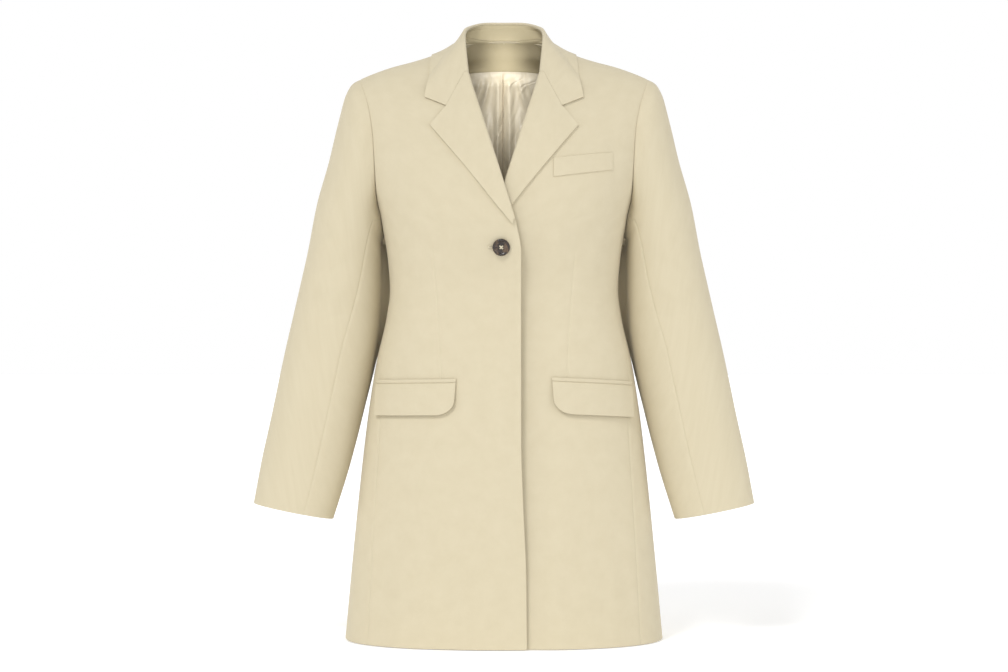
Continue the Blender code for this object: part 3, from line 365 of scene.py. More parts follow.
def front_grid(side):
    """A front's face, with the way it faces."""
    across, up = np.meshgrid(FRONT_COLUMNS, UP_ROWS)
    x, z = front_place(across, up, side)
    points = torso(x, z)
    normals = grid_normals(points, np.array((0.3, -1.0, 0.3)))
    aside = flat_places(points)[0]
    aside = aside - aside[:, DART_AT:DART_AT + 1]
    down_dart = ease(DART[-1].z, DART[-1].z + DART_FOOT_FADE, z)
    down_dart = down_dart * (1.0 - ease(DART[0].z - DART_FADE, DART[0].z, z))
    height = front_height(x, z, side) - DART_DEPTH * np.exp(-(aside / DART_WIDTH) ** 2) * down_dart
    return sewn(points + normals * height[..., None], normals, ("last column", "last row")), normals


def select_only(piece):
    """Have one piece selected and active."""
    bpy.ops.object.select_all(action="DESELECT")
    piece.select_set(True)
    bpy.context.view_layer.objects.active = piece


def piece_from(mesh, finish):
    """A piece made from a mesh in one finish, selected and active."""
    mesh.materials.append(finish)
    piece = bpy.data.objects.new(mesh.name, mesh)
    bpy.context.scene.collection.objects.link(piece)
    select_only(piece)
    return piece


def cloth_wall(name, face, facing, finish, side=1, thickness=CLOTH, free=()):
    """A closed wall of cloth behind a grid of its face, with its free edges rounded."""
    mirror = np.array((side, 1.0, 1.0))
    face, reverse = face * mirror, (face - facing * thickness) * mirror
    rows, columns = face.shape[:2]
    count = rows * columns
    index = np.arange(count).reshape(rows, columns)
    cells = np.stack((index[:-1, :-1], index[:-1, 1:], index[1:, 1:], index[1:, :-1]), axis=-1)
    cells = cells.reshape(-1, 4)
    rim = np.concatenate((index[0, :-1], index[:-1, -1], index[-1, :0:-1], index[:0:-1, 0]))
    onward = np.roll(rim, -1)
    rim_faces = np.stack((onward, rim, rim + count, onward + count), axis=-1)
    faces = np.concatenate((cells, cells[:, ::-1] + count, rim_faces))
    i, j = rows // 2, columns // 2
    looks = np.cross(face[i, j + 1] - face[i, j], face[i + 1, j] - face[i, j])
    if np.dot(looks, facing[i, j] * mirror) < 0:
        faces = faces[:, ::-1]
    mesh = bpy.data.meshes.new(name)
    points = np.concatenate((face.reshape(-1, 3), reverse.reshape(-1, 3)))
    mesh.from_pydata(points.tolist(), [], faces.tolist())
    across, along = flat_places(face)
    places = np.stack((across, along), axis=-1).reshape(-1, 2)
    places = np.concatenate((places, places))
    layer = mesh.uv_layers.new(name="cloth")
    layer.uv.foreach_set("vector", places[faces.ravel()].astype(np.float32).ravel())
    piece = piece_from(mesh, finish)
    if free:
        lines = {"first row": index[0], "last row": index[-1],
                 "first column": index[:, 0], "last column": index[:, -1]}
        ends = np.empty(len(mesh.edges) * 2, dtype=np.int32)
        mesh.edges.foreach_get("vertices", ends)
        ends = ends.reshape(-1, 2)
        weight = np.zeros(len(mesh.edges), dtype=np.float32)
        for edge in free:
            for line in (lines[edge], lines[edge] + count):
                weight[np.isin(ends, line).all(axis=1)] = 1.0
        mesh.attributes.new("bevel_weight_edge", "FLOAT", "EDGE").data.foreach_set("value", weight)
        rounding = piece.modifiers.new("rounding", "BEVEL")
        rounding.limit_method = "WEIGHT"
        rounding.width = EDGE_ROUNDING * thickness
        rounding.segments = 3
        bpy.ops.object.modifier_apply(modifier="rounding")
    bpy.ops.object.shade_smooth()
    return piece


def hex_colour(code):
    """An sRGB hex colour as linear light."""
    channels = [int(code[i:i + 2], 16) / 255 for i in (1, 3, 5)]
    return [c / 12.92 if c <= 0.04045 else ((c + 0.055) / 1.055) ** 2.4 for c in channels] + [1.0]


def add_node(tree, kind, links=(), settings=(), **inputs):
    """A node with its settings, its inputs' values and the outputs that it is fed from."""
    node = tree.nodes.new("ShaderNode" + kind)
    for key, value in dict(settings).items():
        setattr(node, key, value)
    for key, value in inputs.items():
        node.inputs[key.replace("_", " ")].default_value = value
    for key, source in dict(links).items():
        tree.links.new(source, node.inputs[key])
    return node


def new_finish(name, **values):
    """A finish with values set on its shader, its node tree and the shader itself."""
    finish = bpy.data.materials.new(name)
    finish.use_nodes = True
    shader = finish.node_tree.nodes["Principled BSDF"]
    for key, value in values.items():
        shader.inputs[key.replace("_", " ")].default_value = value
    return finish, finish.node_tree, shader


def dye(tree, shader, share, pale, deep):
    """Colour a shader between two shades, by a pattern's output."""
    mixed = add_node(tree, "Mix", {0: share}, {"data_type": "RGBA"})
    mixed.inputs[6].default_value = pale
    mixed.inputs[7].default_value = deep
    tree.links.new(mixed.outputs[2], shader.inputs["Base Color"])


def twill(name, pale, deep, sheen):
    """Brushed cotton twill: a close diagonal rib under a short nap.  It gives a matt face with a
    soft bloom where it turns away, ribs that catch a low light, and slightly cloudy dye."""
    finish, tree, shader = new_finish(name, Roughness=0.90, Specular_IOR_Level=0.22, Sheen_Weight=sheen,
                                      Sheen_Roughness=0.50)
    place = add_node(tree, "UVMap", settings={"uv_map": "cloth"}).outputs[0]
    clouds = add_node(tree, "TexNoise", {"Vector": place}, Scale=45.0, Detail=4.0, Roughness=0.6)
    dye(tree, shader, clouds.outputs[0], hex_colour(pale), hex_colour(deep))
    # ribs 1.2 mm apart, twice the real ones, which are too fine to show
    turned = add_node(tree, "Mapping", {"Vector": place}, Rotation=(0.0, 0.0, 0.87))
    ribs = add_node(tree, "TexWave", {"Vector": turned.outputs[0]}, Scale=math.tau / (20 * 0.0012),
                    Distortion=0.8, Detail=1.0)
    nap = add_node(tree, "TexNoise", {"Vector": place}, Scale=900.0, Detail=2.0)
    height = add_node(tree, "Math", {0: ribs.outputs["Fac"], 1: nap.outputs[0]}, {"operation": "ADD"})
    bump = add_node(tree, "Bump", {"Height": height.outputs[0]}, Strength=0.30, Distance=0.00012)
    tree.links.new(bump.outputs[0], shader.inputs["Normal"])
    return finish


def dress(piece, node):
    """Put a piece in the place of its solid, on the coat's body."""
    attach(piece, "root")
    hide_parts(node)


UP_ROWS = np.concatenate((shares(150), 1 + shares(90, sewn_last=True)[1:]))
DART_COLUMN = 0.48
DART_STEPS = np.array((0.0, 0.004, 0.008, 0.013, 0.020))
INNER_COLUMNS = np.linspace(0.0, DART_COLUMN - 0.030, 38)
OUTER_COLUMNS = DART_COLUMN + 0.020 + (0.980 - DART_COLUMN) * shares(42, sewn_last=True)[1:]
DART_COLUMNS = np.concatenate((DART_COLUMN - DART_STEPS[::-1], DART_COLUMN + DART_STEPS[1:]))
DART_AT = len(INNER_COLUMNS) + len(DART_STEPS) - 1
FRONT_COLUMNS = np.concatenate((INNER_COLUMNS, DART_COLUMNS, OUTER_COLUMNS))
coat_twill = twill("brushed cotton twill", "#D0C6AC", "#C7BCA0", 0.12)

for word, side in (("right", -1), ("left", 1)):
    face, facing = front_grid(side)
    piece = cloth_wall("front_cloth_" + word, face, facing, coat_twill, side,
                       free=("first column", "first row"))
    dress(piece, "front_" + word)

# ---------------------------------------------------------------- side panels
# A narrow panel under each arm, of the same twill, sewn to the front and the back from the hem
# to the armhole; it takes the waist in where a side seam would.
ARMHOLE_DIP = 0.026


def around(angle, z):
    """Points of the coat's outside, by the angle round from centre front."""
    half_width = curve(TORSO, "z", "half_width", z)
    return torso(half_width * np.sin(np.radians(angle)), z, back=angle > 90.0)


def side_place(across, up):
    """Angles and levels of a side panel: across to its back seam, up to the armhole."""
    z = HEM_LEVEL + (UNDERARM_LEVEL - HEM_LEVEL) * up
    start, end = curve(SEAMS, "z", "front_angle", z), curve(SEAMS, "z", "back_angle", z)
    return start + (end - start) * across, z - ARMHOLE_DIP * np.sin(math.pi * across) * up ** 6


for word, side in (("right", -1), ("left", 1)):
    across, up = np.meshgrid(shares(34, True, True), shares(160, sewn_last=True))
    angle, z = side_place(across, up)
    points = around(angle, z)
    normals = grid_normals(points, np.array((1.0, 0.0, 0.0)))
    points = points + normals * folds(COAT_FOLDS, angle, z, side)[..., None]
    points = sewn(points, normals, ("first column", "last column", "last row"))
    piece = cloth_wall("side_cloth_" + word, points, normals, coat_twill, side, free=("first row",))
    dress(piece, "side_" + word)

# ---------------------------------------------------------------- backs
# The two halves of the back, of the same twill, sewn down the centre from the neck to the hem
# and across the shoulders to the fronts.
NECK_BACK_LEVEL = 0.020


def neckline_level(x):
    """The height of the back neck seam, then of the shoulder seam."""
    share = (x / NECK_POINT_OUT) ** 2
    neck = NECK_BACK_LEVEL + (NECK_POINT_LEVEL - NECK_BACK_LEVEL) * share
    return np.where(x >= NECK_POINT_OUT, curve(SHOULDER_RIDGE, "x", "z", x), neck)


def back_place(across, up):
    """Places of a back half in the back view: across to its side (1), up to the neck (2)."""
    level = HEM_LEVEL + (UNDERARM_LEVEL - HEM_LEVEL) * np.minimum(up, 1.0)
    angle = np.radians(180.0 - curve(SEAMS, "z", "back_angle", level))
    spread = np.sin(angle * across) / np.sin(angle)
    share = np.minimum(2.0 - up, 1.0) ** 2
    shoulder = curve(SHOULDER_RIDGE, "x", "z", SHOULDER_POINT_OUT)
    outer_z = shoulder - (shoulder - UNDERARM_LEVEL) * share
    upper_x = curve(ARMHOLE, "z", "back", outer_z) * spread
    lower_x = curve(TORSO, "z", "half_width", level) * np.sin(angle * across)
    top = neckline_level(SHOULDER_POINT_OUT * spread)
    upper_z = top - (top - UNDERARM_LEVEL) * share
    return np.where(up > 1.0, upper_x, lower_x), np.where(up > 1.0, upper_z, level)


for word, side in (("right", -1), ("left", 1)):
    across, up = np.meshgrid(shares(78, True, True), UP_ROWS)
    x, z = back_place(across, up)
    points = torso(x, z, back=True)
    normals = grid_normals(points, np.array((0.3, 1.0, 0.3)))
    normals[:, 0] = unit(normals[:, 0] * np.array((0.0, 1.0, 1.0)))
    points = points + normals * folds(COAT_FOLDS, 180.0 - round_from_front(x, z), z, side)[..., None]
    points = sewn(points, normals, ("first column", "last column", "last row"))
    piece = cloth_wall("back_cloth_" + word, points, normals, coat_twill, side, free=("first row",))
    dress(piece, "back_" + word)

# ---------------------------------------------------------------- sleeves
# Two-piece set-in sleeves of the same twill: a wide top piece and a narrower under piece, sewn
# down the front of the forearm and the back of the arm, eased into the armhole, cuff turned in.
ARMHOLE_CENTRE_Y = 0.004
ARMHOLE_CENTRE_LEVEL = -0.153
CROWN_COLUMN = 7.0
ARM_TURN_LENGTH = 0.0009
ARM_COLUMNS = 9.0
SIDE_COLUMNS = 6.0
TOP_COLUMNS = 16.0
UNDER_COLUMNS = 8.0
ROUND_POWER = 0.9
EVEN_STATION = 3.0
SET_IN_STATION = 3.5

SleeveRing = namedtuple(
    "SleeveRing", "station outer_x outer_z inner_x inner_z centre_y half_depth front_rise tuck")
SLEEVE = [
    SleeveRing(0, 0.2045, -0.0440, 0.1745, -0.2640, 0.004, 0.066, 0.00, 0.000),
    SleeveRing(1, 0.2150, -0.0500, 0.1748, -0.2665, 0.004, 0.066, 0.00, 0.000),
    SleeveRing(2, 0.2240, -0.0640, 0.1748, -0.2695, 0.004, 0.065, 0.00, 0.000),
    SleeveRing(3, 0.2348, -0.1020, 0.1746, -0.2740, 0.004, 0.064, 0.00, 0.000),
    SleeveRing(4, 0.2485, -0.1589, 0.1742, -0.2810, 0.004, 0.063, 0.00, 0.010),
    SleeveRing(5, 0.2658, -0.2200, 0.1738, -0.2960, 0.005, 0.061, 0.00, 0.021),
    SleeveRing(6, 0.2783, -0.2839, 0.1740, -0.3230, 0.007, 0.060, 0.00, 0.024),
    SleeveRing(7, 0.2944, -0.3549, 0.1765, -0.3820, 0.008, 0.058, 0.02, 0.021),
    SleeveRing(8, 0.3102, -0.4259, 0.1858, -0.4514, 0.002, 0.055, 0.07, 0.006),
    SleeveRing(9, 0.3245, -0.4969, 0.2010, -0.5224, -0.009, 0.050, 0.10, 0.000),
    SleeveRing(10, 0.3387, -0.5679, 0.2185, -0.5920, -0.021, 0.045, 0.07, 0.000),
    SleeveRing(11, 0.3510, -0.6400, 0.2398, -0.6624, -0.034, 0.041, 0.02, 0.000),
]
SleeveSeam = namedtuple("SleeveSeam", "station front_angle back_angle")
SLEEVE_SEAMS = [
    SleeveSeam(0, 150.0, 262.0),
    SleeveSeam(3, 134.0, 258.0),
    SleeveSeam(6, 122.0, 245.0),
    SleeveSeam(8, 107.0, 238.0),
    SleeveSeam(11, 109.0, 240.0),
]
# Folds of the sleeve, by degrees forwards from its outer line.
SLEEVE_FOLDS = [
    Fold(0, 100, -0.250, 30, -0.300, 0.009, 0.0012, 0.004),
    Fold(0, 120, -0.285, 40, -0.352, 0.009, -0.0014, 0.004),
    Fold(0, 125, -0.330, 50, -0.368, 0.008, 0.0012, 0.003),
    Fold(0, 115, -0.372, 60, -0.392, 0.008, -0.0012, 0.002),
    Fold(-1, 30, -0.100, 60, -0.240, 0.012, -0.0008, 0.004),
    Fold(1, 25, -0.110, 55, -0.250, 0.013, -0.0008, 0.004),
    Fold(0, -10, -0.420, 20, -0.600, 0.012, -0.0008, 0.004),
    Fold(0, 60, -0.430, 72, -0.640, 0.012, 0.0009, 0.004),
    Fold(0, -60, -0.250, -100, -0.380, 0.012, 0.0016, 0.006),
    Fold(0, -80, -0.200, -120, -0.300, 0.012, -0.0016, 0.006),
    Fold(0, -70, -0.360, -110, -0.470, 0.012, -0.0013, 0.006),
]


def over_arm(column):
    """The armhole's edge at columns of the top piece, from the back over the crown to the front."""
    share = np.abs(column - CROWN_COLUMN) / ARM_COLUMNS
    z = ARMHOLE[0].z - (ARMHOLE[0].z - UNDERARM_LEVEL) * share ** 2
    back = column < CROWN_COLUMN
    x = np.where(back, curve(ARMHOLE, "z", "back", z), curve(ARMHOLE, "z", "front", z))
    return torso(x, z, back=back)


def under_arm(column):
    """The armhole's edge at columns of the under piece: under the arm, then up the back."""
    angle, low = side_place(np.clip(column / SIDE_COLUMNS, 0.0, 1.0), np.ones(column.shape))
    share = np.clip((SIDE_COLUMNS + ARM_COLUMNS - column) / ARM_COLUMNS, 0.0, 1.0)
    z = ARMHOLE[0].z - (ARMHOLE[0].z - UNDERARM_LEVEL) * share ** 2
    behind = torso(curve(ARMHOLE, "z", "back", z), z, back=True)
    return np.where((column > SIDE_COLUMNS)[..., None], behind, around(angle, low))


def armhole_turn(points):
    """The turn of armhole points from the top, forwards, in degrees."""
    y, z = points[..., 1], points[..., 2]
    return np.degrees(np.arctan2(ARMHOLE_CENTRE_Y - y, z - ARMHOLE_CENTRE_LEVEL))


def sleeve_ring(angle, station):
    """Points of the sleeve's rings at stations down the arm, tucked in behind the body."""
    def at(column):
        return curve(SLEEVE, "station", column, station)

    turn = np.radians(angle)
    sine, cosine = np.sin(turn), np.cos(turn)
    squared = np.sign(sine) * np.abs(sine) ** ROUND_POWER
    x = (at("outer_x") + at("inner_x")) / 2 + (at("outer_x") - at("inner_x")) / 2 * cosine
    z = (at("outer_z") + at("inner_z")) / 2 + (at("outer_z") - at("inner_z")) / 2 * cosine
    x = x - at("tuck") * np.maximum(-cosine, 0.0) * np.maximum(-sine, 0.0) * 2.0
    z = z + at("front_rise") * at("half_depth") * squared
    return np.stack((x, at("centre_y") - at("half_depth") * squared, z), axis=-1)


def sleeve_grid(under, side):
    """The face of the top or under piece of a sleeve, with the way it faces."""
    last = UNDER_COLUMNS if under else TOP_COLUMNS
    column, station = np.meshgrid(last * shares(36 if under else 56, True, True), STATIONS)
    edge = under_arm(column) if under else over_arm(column)
    turn = armhole_turn(edge)
    front_seam = curve(SLEEVE_SEAMS, "station", "front_angle", station)
    back_seam = curve(SLEEVE_SEAMS, "station", "back_angle", station)
    if under:
        turn = turn % 360.0
        even = front_seam + (back_seam - front_seam) * column / last
    else:
        crown = armhole_turn(over_arm(np.array(CROWN_COLUMN)))
        turn = turn - crown * np.maximum(1.0 - np.abs(column - CROWN_COLUMN), 0.0)
        even = back_seam - 360.0 + (front_seam - back_seam + 360.0) * column / last
    angle = turn + (even - turn) * ease(0.0, EVEN_STATION, station)
    setting = edge - sleeve_ring(turn, 0.0 * station)
    points = sleeve_ring(angle, station) + setting * (1.0 - ease(0.0, SET_IN_STATION, station))[..., None]
    centre = (sleeve_ring(0.0 * angle, station) + sleeve_ring(0.0 * angle + 180.0, station)) / 2
    normals = grid_normals(points, points - centre)
    forwards = np.where(angle > 180.0, angle - 360.0, angle)
    height = folds(SLEEVE_FOLDS, forwards, points[..., 2], side, ARM_TURN_LENGTH)
    points = points + normals * height[..., None]
    return sewn(points, normals, ("first column", "last column", "first row")), normals


STATIONS = np.concatenate((np.array((0.0, 0.03, 0.08, 0.15, 0.25)), np.linspace(0.4, 3.0, 22),
                           np.linspace(3.0, 11.0, 158)[1:]))
for word, side in (("right", -1), ("left", 1)):
    for part, under in (("top", False), ("under", True)):
        face, facing = sleeve_grid(under, side)
        name = "sleeve_%s_cloth_%s" % (part, word)
        piece = cloth_wall(name, face, facing, coat_twill, side, free=("last row",))
        dress(piece, "sleeve_%s_%s" % (part, word))

# ---------------------------------------------------------------- back neck facing and lining
# Inside the back neck a facing of the coat's own twill runs from shoulder to shoulder.  Under it
# hangs a half lining of smooth satin, with a pleat of ease down its centre.
LINED_GAP = 0.0014
LIGHT_CLOTH = 0.0012
FACING_HALF_WIDTH = 0.094
FACING_LEVEL = -0.0192
FACING_CURVE = 0.0110
FACING_TOP_LEVEL = 0.0196
FACING_TUCK = 0.0062
FACING_SETTLE = 0.0024
FACING_SIDE_SETTLE = 0.0020
LINING_HEM_LEVEL = -0.330
LINING_HALF_WIDTH = 0.150
LINING_TAPER = 0.040
FACING_DROP = 0.0040
FACING_DROP_OUT = 0.056
FACING_FREE_OUT = 0.054
FACING_TUCK_REACH = (0.012, 0.045)
FACING_SIDE_REACH = (0.028, 0.045)
FACING_RISE_SHARES = (0.45, 1.0)
FACING_TUCK_SHARES = (0.10, 0.60)
FACING_SETTLE_SHARES = (0.92, 1.0)
LINING_TAPER_SHARES = (0.55, 1.0)
LINING_SEAM_GAP = 0.0002
LINING_SIDE_SHARE = 0.95
NEAR_PLEAT_SHARE = 0.14
PLEAT_SHARE = 0.13
PLEAT_OUT = -0.0014
PLEAT_DEPTH = 0.0075
PLEAT_HALF_WIDTH = 0.0009
PLEAT_TOP = (-0.0215, -0.036)
PLEAT_FOOT = (-0.30, -0.12)
PLEAT_FOOT_SHARE = 0.4

# Rolls of the lining beside its pleat: how far off, half width and height.
PleatRoll = namedtuple("PleatRoll", "off width height")
PLEAT_ROLLS = [PleatRoll(-0.0080, 0.0052, 0.0062), PleatRoll(0.0098, 0.0060, 0.0070)]

# Folds of the lining, by millimetres from its centre.
LINING_FOLDS = [
    Fold(0, 20.0, -0.018, 42.0, -0.085, 0.0045, 0.0066, 0.001),
    Fold(0, 34.0, -0.020, 50.0, -0.070, 0.0040, 0.0040, -0.001),
    Fold(0, 25.0, -0.050, 31.0, -0.240, 0.0055, 0.0060, 0.002),
    Fold(0, 46.0, -0.060, 50.0, -0.260, 0.0070, 0.0030, 0.002),
]


def inside_back(x, z, depth):
    """Points at a depth inside the back, and the way that a face there looks, into the coat."""
    inward = torso_normal(x, z, back=True)
    return torso(x, z, True) + inward * depth[..., None], inward


x, share = np.meshgrid(np.linspace(-FACING_HALF_WIDTH, FACING_HALF_WIDTH, 61), shares(28, True, True))
top = neckline_level(np.abs(x)) - FACING_DROP * ease(FACING_DROP_OUT, NECK_POINT_OUT, np.abs(x))
bottom = FACING_LEVEL - FACING_CURVE * (x / FACING_HALF_WIDTH) ** 2
inset = np.full(x.shape, CLOTH + LINED_GAP + LIGHT_CLOTH)
points, facing = inside_back(x, bottom + (top - bottom) * share, inset)
near_neck = 1.0 - ease(FACING_FREE_OUT, NECK_POINT_OUT, np.abs(x))
standing = ease(*FACING_RISE_SHARES, share) * near_neck
points[..., 2] = points[..., 2] + (FACING_TOP_LEVEL - points[-1, :, 2]) * standing
tuck = FACING_TUCK * ease(*FACING_TUCK_SHARES, share) * near_neck * ease(*FACING_TUCK_REACH, np.abs(x))
settled = FACING_SETTLE + FACING_SIDE_SETTLE * ease(*FACING_SIDE_REACH, np.abs(x))
settled = settled * ease(*FACING_SETTLE_SHARES, share)
points = points - unit(points * np.array((1.0, 1.0, 0.0))) * (tuck - settled)[..., None]
facing = grid_normals(points, facing)
points = sewn(points, facing, ("first row", "last row"))
# the same twill painted a shade deeper, for the shade that the facing and the collar stand lie in inside the
# neck
painted_shade_twill = twill("brushed cotton twill with painted shade", "#C2B698", "#B8AC8A", 0.06)
piece = cloth_wall("neck_facing_cloth", points, facing, painted_shade_twill, thickness=LIGHT_CLOTH)
dress(piece, "neck_facing")


def satin(name, pale, deep):
    """Lining satin: long floats of a fine filament yarn, pressed smooth.  It gives a soft silky
    gloss that runs along the folds and deepens in the hollows."""
    finish, tree, shader = new_finish(name, Roughness=0.38, Specular_IOR_Level=0.55, Sheen_Weight=0.10)
    place = add_node(tree, "UVMap", settings={"uv_map": "cloth"}).outputs[0]
    # yarns drawn 0.5 mm apart, four times the real ones
    stretched = add_node(tree, "Mapping", {"Vector": place}, Scale=(2000.0, 60.0, 1.0))
    yarn = add_node(tree, "TexNoise", {"Vector": stretched.outputs[0]}, Scale=1.0, Detail=2.0)
    dye(tree, shader, yarn.outputs[0], hex_colour(pale), hex_colour(deep))
    # the crumple of a loose light cloth, about 20 mm apart and drawn out down its length
    drawn = add_node(tree, "Mapping", {"Vector": place}, Scale=(48.0, 13.0, 1.0), Rotation=(0.0, 0.0, 0.12))
    crumple = add_node(tree, "TexNoise", {"Vector": drawn.outputs[0]}, Scale=1.0, Detail=1.2, Distortion=0.8)
    bump = add_node(tree, "Bump", {"Height": crumple.outputs[0]}, Strength=0.5, Distance=0.011)
    tree.links.new(bump.outputs[0], shader.inputs["Normal"])
    return finish


lining_satin = satin("beige lining satin", "#DAD0BA", "#CBC0A6")
out = np.concatenate((np.linspace(-LINING_SIDE_SHARE, -NEAR_PLEAT_SHARE, 36),
                      np.linspace(-PLEAT_SHARE, PLEAT_SHARE, 79),
                      np.linspace(NEAR_PLEAT_SHARE, LINING_SIDE_SHARE, 36)))
out, share = np.meshgrid(out, shares(110, sewn_last=True))
x = out * (LINING_HALF_WIDTH - LINING_TAPER * ease(*LINING_TAPER_SHARES, share))
top = FACING_LEVEL - LINING_SEAM_GAP - FACING_CURVE * (x / FACING_HALF_WIDTH) ** 2
z = LINING_HEM_LEVEL + (top - LINING_HEM_LEVEL) * share
off = x - PLEAT_OUT
roll = sum(row.height * np.exp(-((off - row.off) / row.width) ** 2) for row in PLEAT_ROLLS)
roll = roll + PLEAT_DEPTH * (1.0 - np.exp(-(off / PLEAT_HALF_WIDTH) ** 2))
roll = roll + folds(LINING_FOLDS, np.abs(x) * 1000.0, z, 0, 0.001)
fullness = PLEAT_FOOT_SHARE + (1.0 - PLEAT_FOOT_SHARE) * ease(*PLEAT_FOOT, z)
inset = CLOTH + LINED_GAP + LIGHT_CLOTH + roll * ease(*PLEAT_TOP, z) * fullness
points, facing = inside_back(x, z, inset)
facing = grid_normals(points, np.array((0.0, -1.0, 0.0)))
piece = cloth_wall("back_lining_cloth", sewn(points, facing, ("last row",)), facing, lining_satin,
                   thickness=LIGHT_CLOTH, free=("first row",))
dress(piece, "back_lining")

# ---------------------------------------------------------------- lapels
# Wide notched lapels: each is the front's own facing rolled back over the chest along its roll
# line, pressed flat at the edge and left springy at the fold.
SEAM_GAP = 0.0003
LAID_ON_GAP = 0.0012
FOLD_RADIUS = 0.0045
FOLD_START = -40.0
FOLD_END = 90.0
FOOT_START = 35.0
PRESSED_RADIUS = 0.0024
GORGE_LEVEL = -0.0406
LAPEL_FOOT_LEVEL = -0.246
SETTLE_SHARE = 0.7
NOTCH_SHARE = 0.62
FOLD_COLUMNS = 13
SPRING_SHARES = {-1: (0.20, 0.45), 1: (0.30, 0.50)}
FOOT_SHARES = (0.05, 0.16)
NOTCH_POWER = 8

LapelRow = namedtuple("LapelRow", "along x z")
LAPEL_EDGE = [
    LapelRow(0.00, -0.0120, -0.2535),
    LapelRow(0.16, 0.0068, -0.2321),
    LapelRow(0.40, 0.0352, -0.1960),
    LapelRow(0.70, 0.0690, -0.1552),
    LapelRow(1.00, 0.1016, -0.1164),
]
NOTCH = (0.0774, -0.0895)
COLLAR_TIP = (0.1096, -0.0762)
TO_EDGE = np.concatenate((np.linspace(0.0, NOTCH_SHARE, 26)[1:], np.linspace(NOTCH_SHARE, 1.0, 17)[1:]))


def roll_direction(side):
    """The roll line's direction on the chest, upwards."""
    low, high = ROLL_LINE[0], ROLL_LINE[2]
    ends = chest(np.array((low.x, high.x)), np.array((low.z, high.z)), side)[0]
    return unit(ends[1] - ends[0])


def fold_arc(centre, inward, upward, radius, turns):
    """Points round a fold, and the way that each faces, for rows of turns in degrees."""
    angle = np.radians(turns)[..., None]
    facing = unit(inward * np.cos(angle) + upward * np.sin(angle))
    return centre + facing * radius, facing


def laid_back(start, edge, bend, radius, side):
    """Points of a lapel or collar over the chest, from its fold to its edge, and how they face."""
    corner = np.minimum(TO_EDGE / NOTCH_SHARE, (1 - TO_EDGE) / (1 - NOTCH_SHARE))
    x = start[0] + (edge[0] - start[0]) * TO_EDGE + bend[0] * corner
    z = start[1] + (edge[1] - start[1]) * TO_EDGE + bend[1] * corner
    points, normals = chest(x, z, side)
    flat = LAID_ON_GAP + CLOTH
    height = flat + (SEAM_GAP + radius - flat) * np.maximum(1.0 - TO_EDGE / SETTLE_SHARE, 0.0) ** 2
    return points + normals * height[..., None], normals


def lapel_grid(side):
    """A lapel's face, from inside its fold to its edge, up to the gorge."""
    share = np.concatenate((np.linspace(0.0, 0.2, 30), np.linspace(0.2, 1.0, 110)[1:]))[:, None]
    roll_z = LAPEL_FOOT_LEVEL + (GORGE_LEVEL - SEAM_GAP - LAPEL_FOOT_LEVEL) * share
    roll_x = curve(ROLL_LINE, "z", "x", roll_z)
    point, normal = chest(roll_x, roll_z, side)
    inward = towards(unit(np.cross(normal, roll_direction(side))), np.array((-1.0, 0.0, 0.0)))
    spring = ease(*SPRING_SHARES[side], share)
    radius = PRESSED_RADIUS + (FOLD_RADIUS - PRESSED_RADIUS) * spring
    centre = point + normal * SEAM_GAP - inward * radius[..., None]
    first = FOOT_START + (FOLD_START - FOOT_START) * ease(*FOOT_SHARES, share)
    turns = first + (FOLD_END - first) * np.linspace(0.0, 1.0, FOLD_COLUMNS)
    arc, arc_facing = fold_arc(centre, inward, normal, radius[..., None], turns)
    edge = (curve(LAPEL_EDGE, "along", "x", share), curve(LAPEL_EDGE, "along", "z", share))
    gorge_x = curve(ROLL_LINE, "z", "x", GORGE_LEVEL)
    chord_x = gorge_x + (LAPEL_EDGE[-1].x - gorge_x) * NOTCH_SHARE
    chord_z = GORGE_LEVEL + (LAPEL_EDGE[-1].z - GORGE_LEVEL) * NOTCH_SHARE
    at_notch = share ** NOTCH_POWER
    bend = ((NOTCH[0] - chord_x) * at_notch, (NOTCH[1] - SEAM_GAP - chord_z) * at_notch)
    laid, laid_facing = laid_back((roll_x + radius, roll_z), edge, bend, radius, side)
    return np.concatenate((arc, laid), axis=1), np.concatenate((arc_facing, laid_facing), axis=1)


for word, side in (("right", -1), ("left", 1)):
    face, facing = lapel_grid(side)
    facing = grid_normals(face, facing)
    piece = cloth_wall("lapel_cloth_" + word, face, facing, coat_twill, side,
                       free=("last column", "last row"))
    dress(piece, "lapel_" + word)

# ---------------------------------------------------------------- collar
# A two-part tailored collar: a stand sewn to the neck seam, and a fall that turns down over it
# and meets the lapels at the gorge.  Both are the coat's twill over a pressed undercollar.
NECK_FOLD_START = -15.0
NECK_FOLD_RADIUS = 0.0030
COLLAR_REST = 0.0004
COLLAR_EDGE_REST = 0.0015
STAND_START = 0.16
STAND_FRONT_LIFT = 0.0024
STAND_BACK_LIFT = 0.0006
STAND_LINE = 0.26
STAND_LINE_DEPTH = 0.0004
STAND_LINE_WIDTH = 0.03
STAND_LIFT_SHARES = (0.40, 0.60)
SHOULDER_DEPTH = 0.16
HALVINGS = 24
FALL_CLOTH = 0.0015

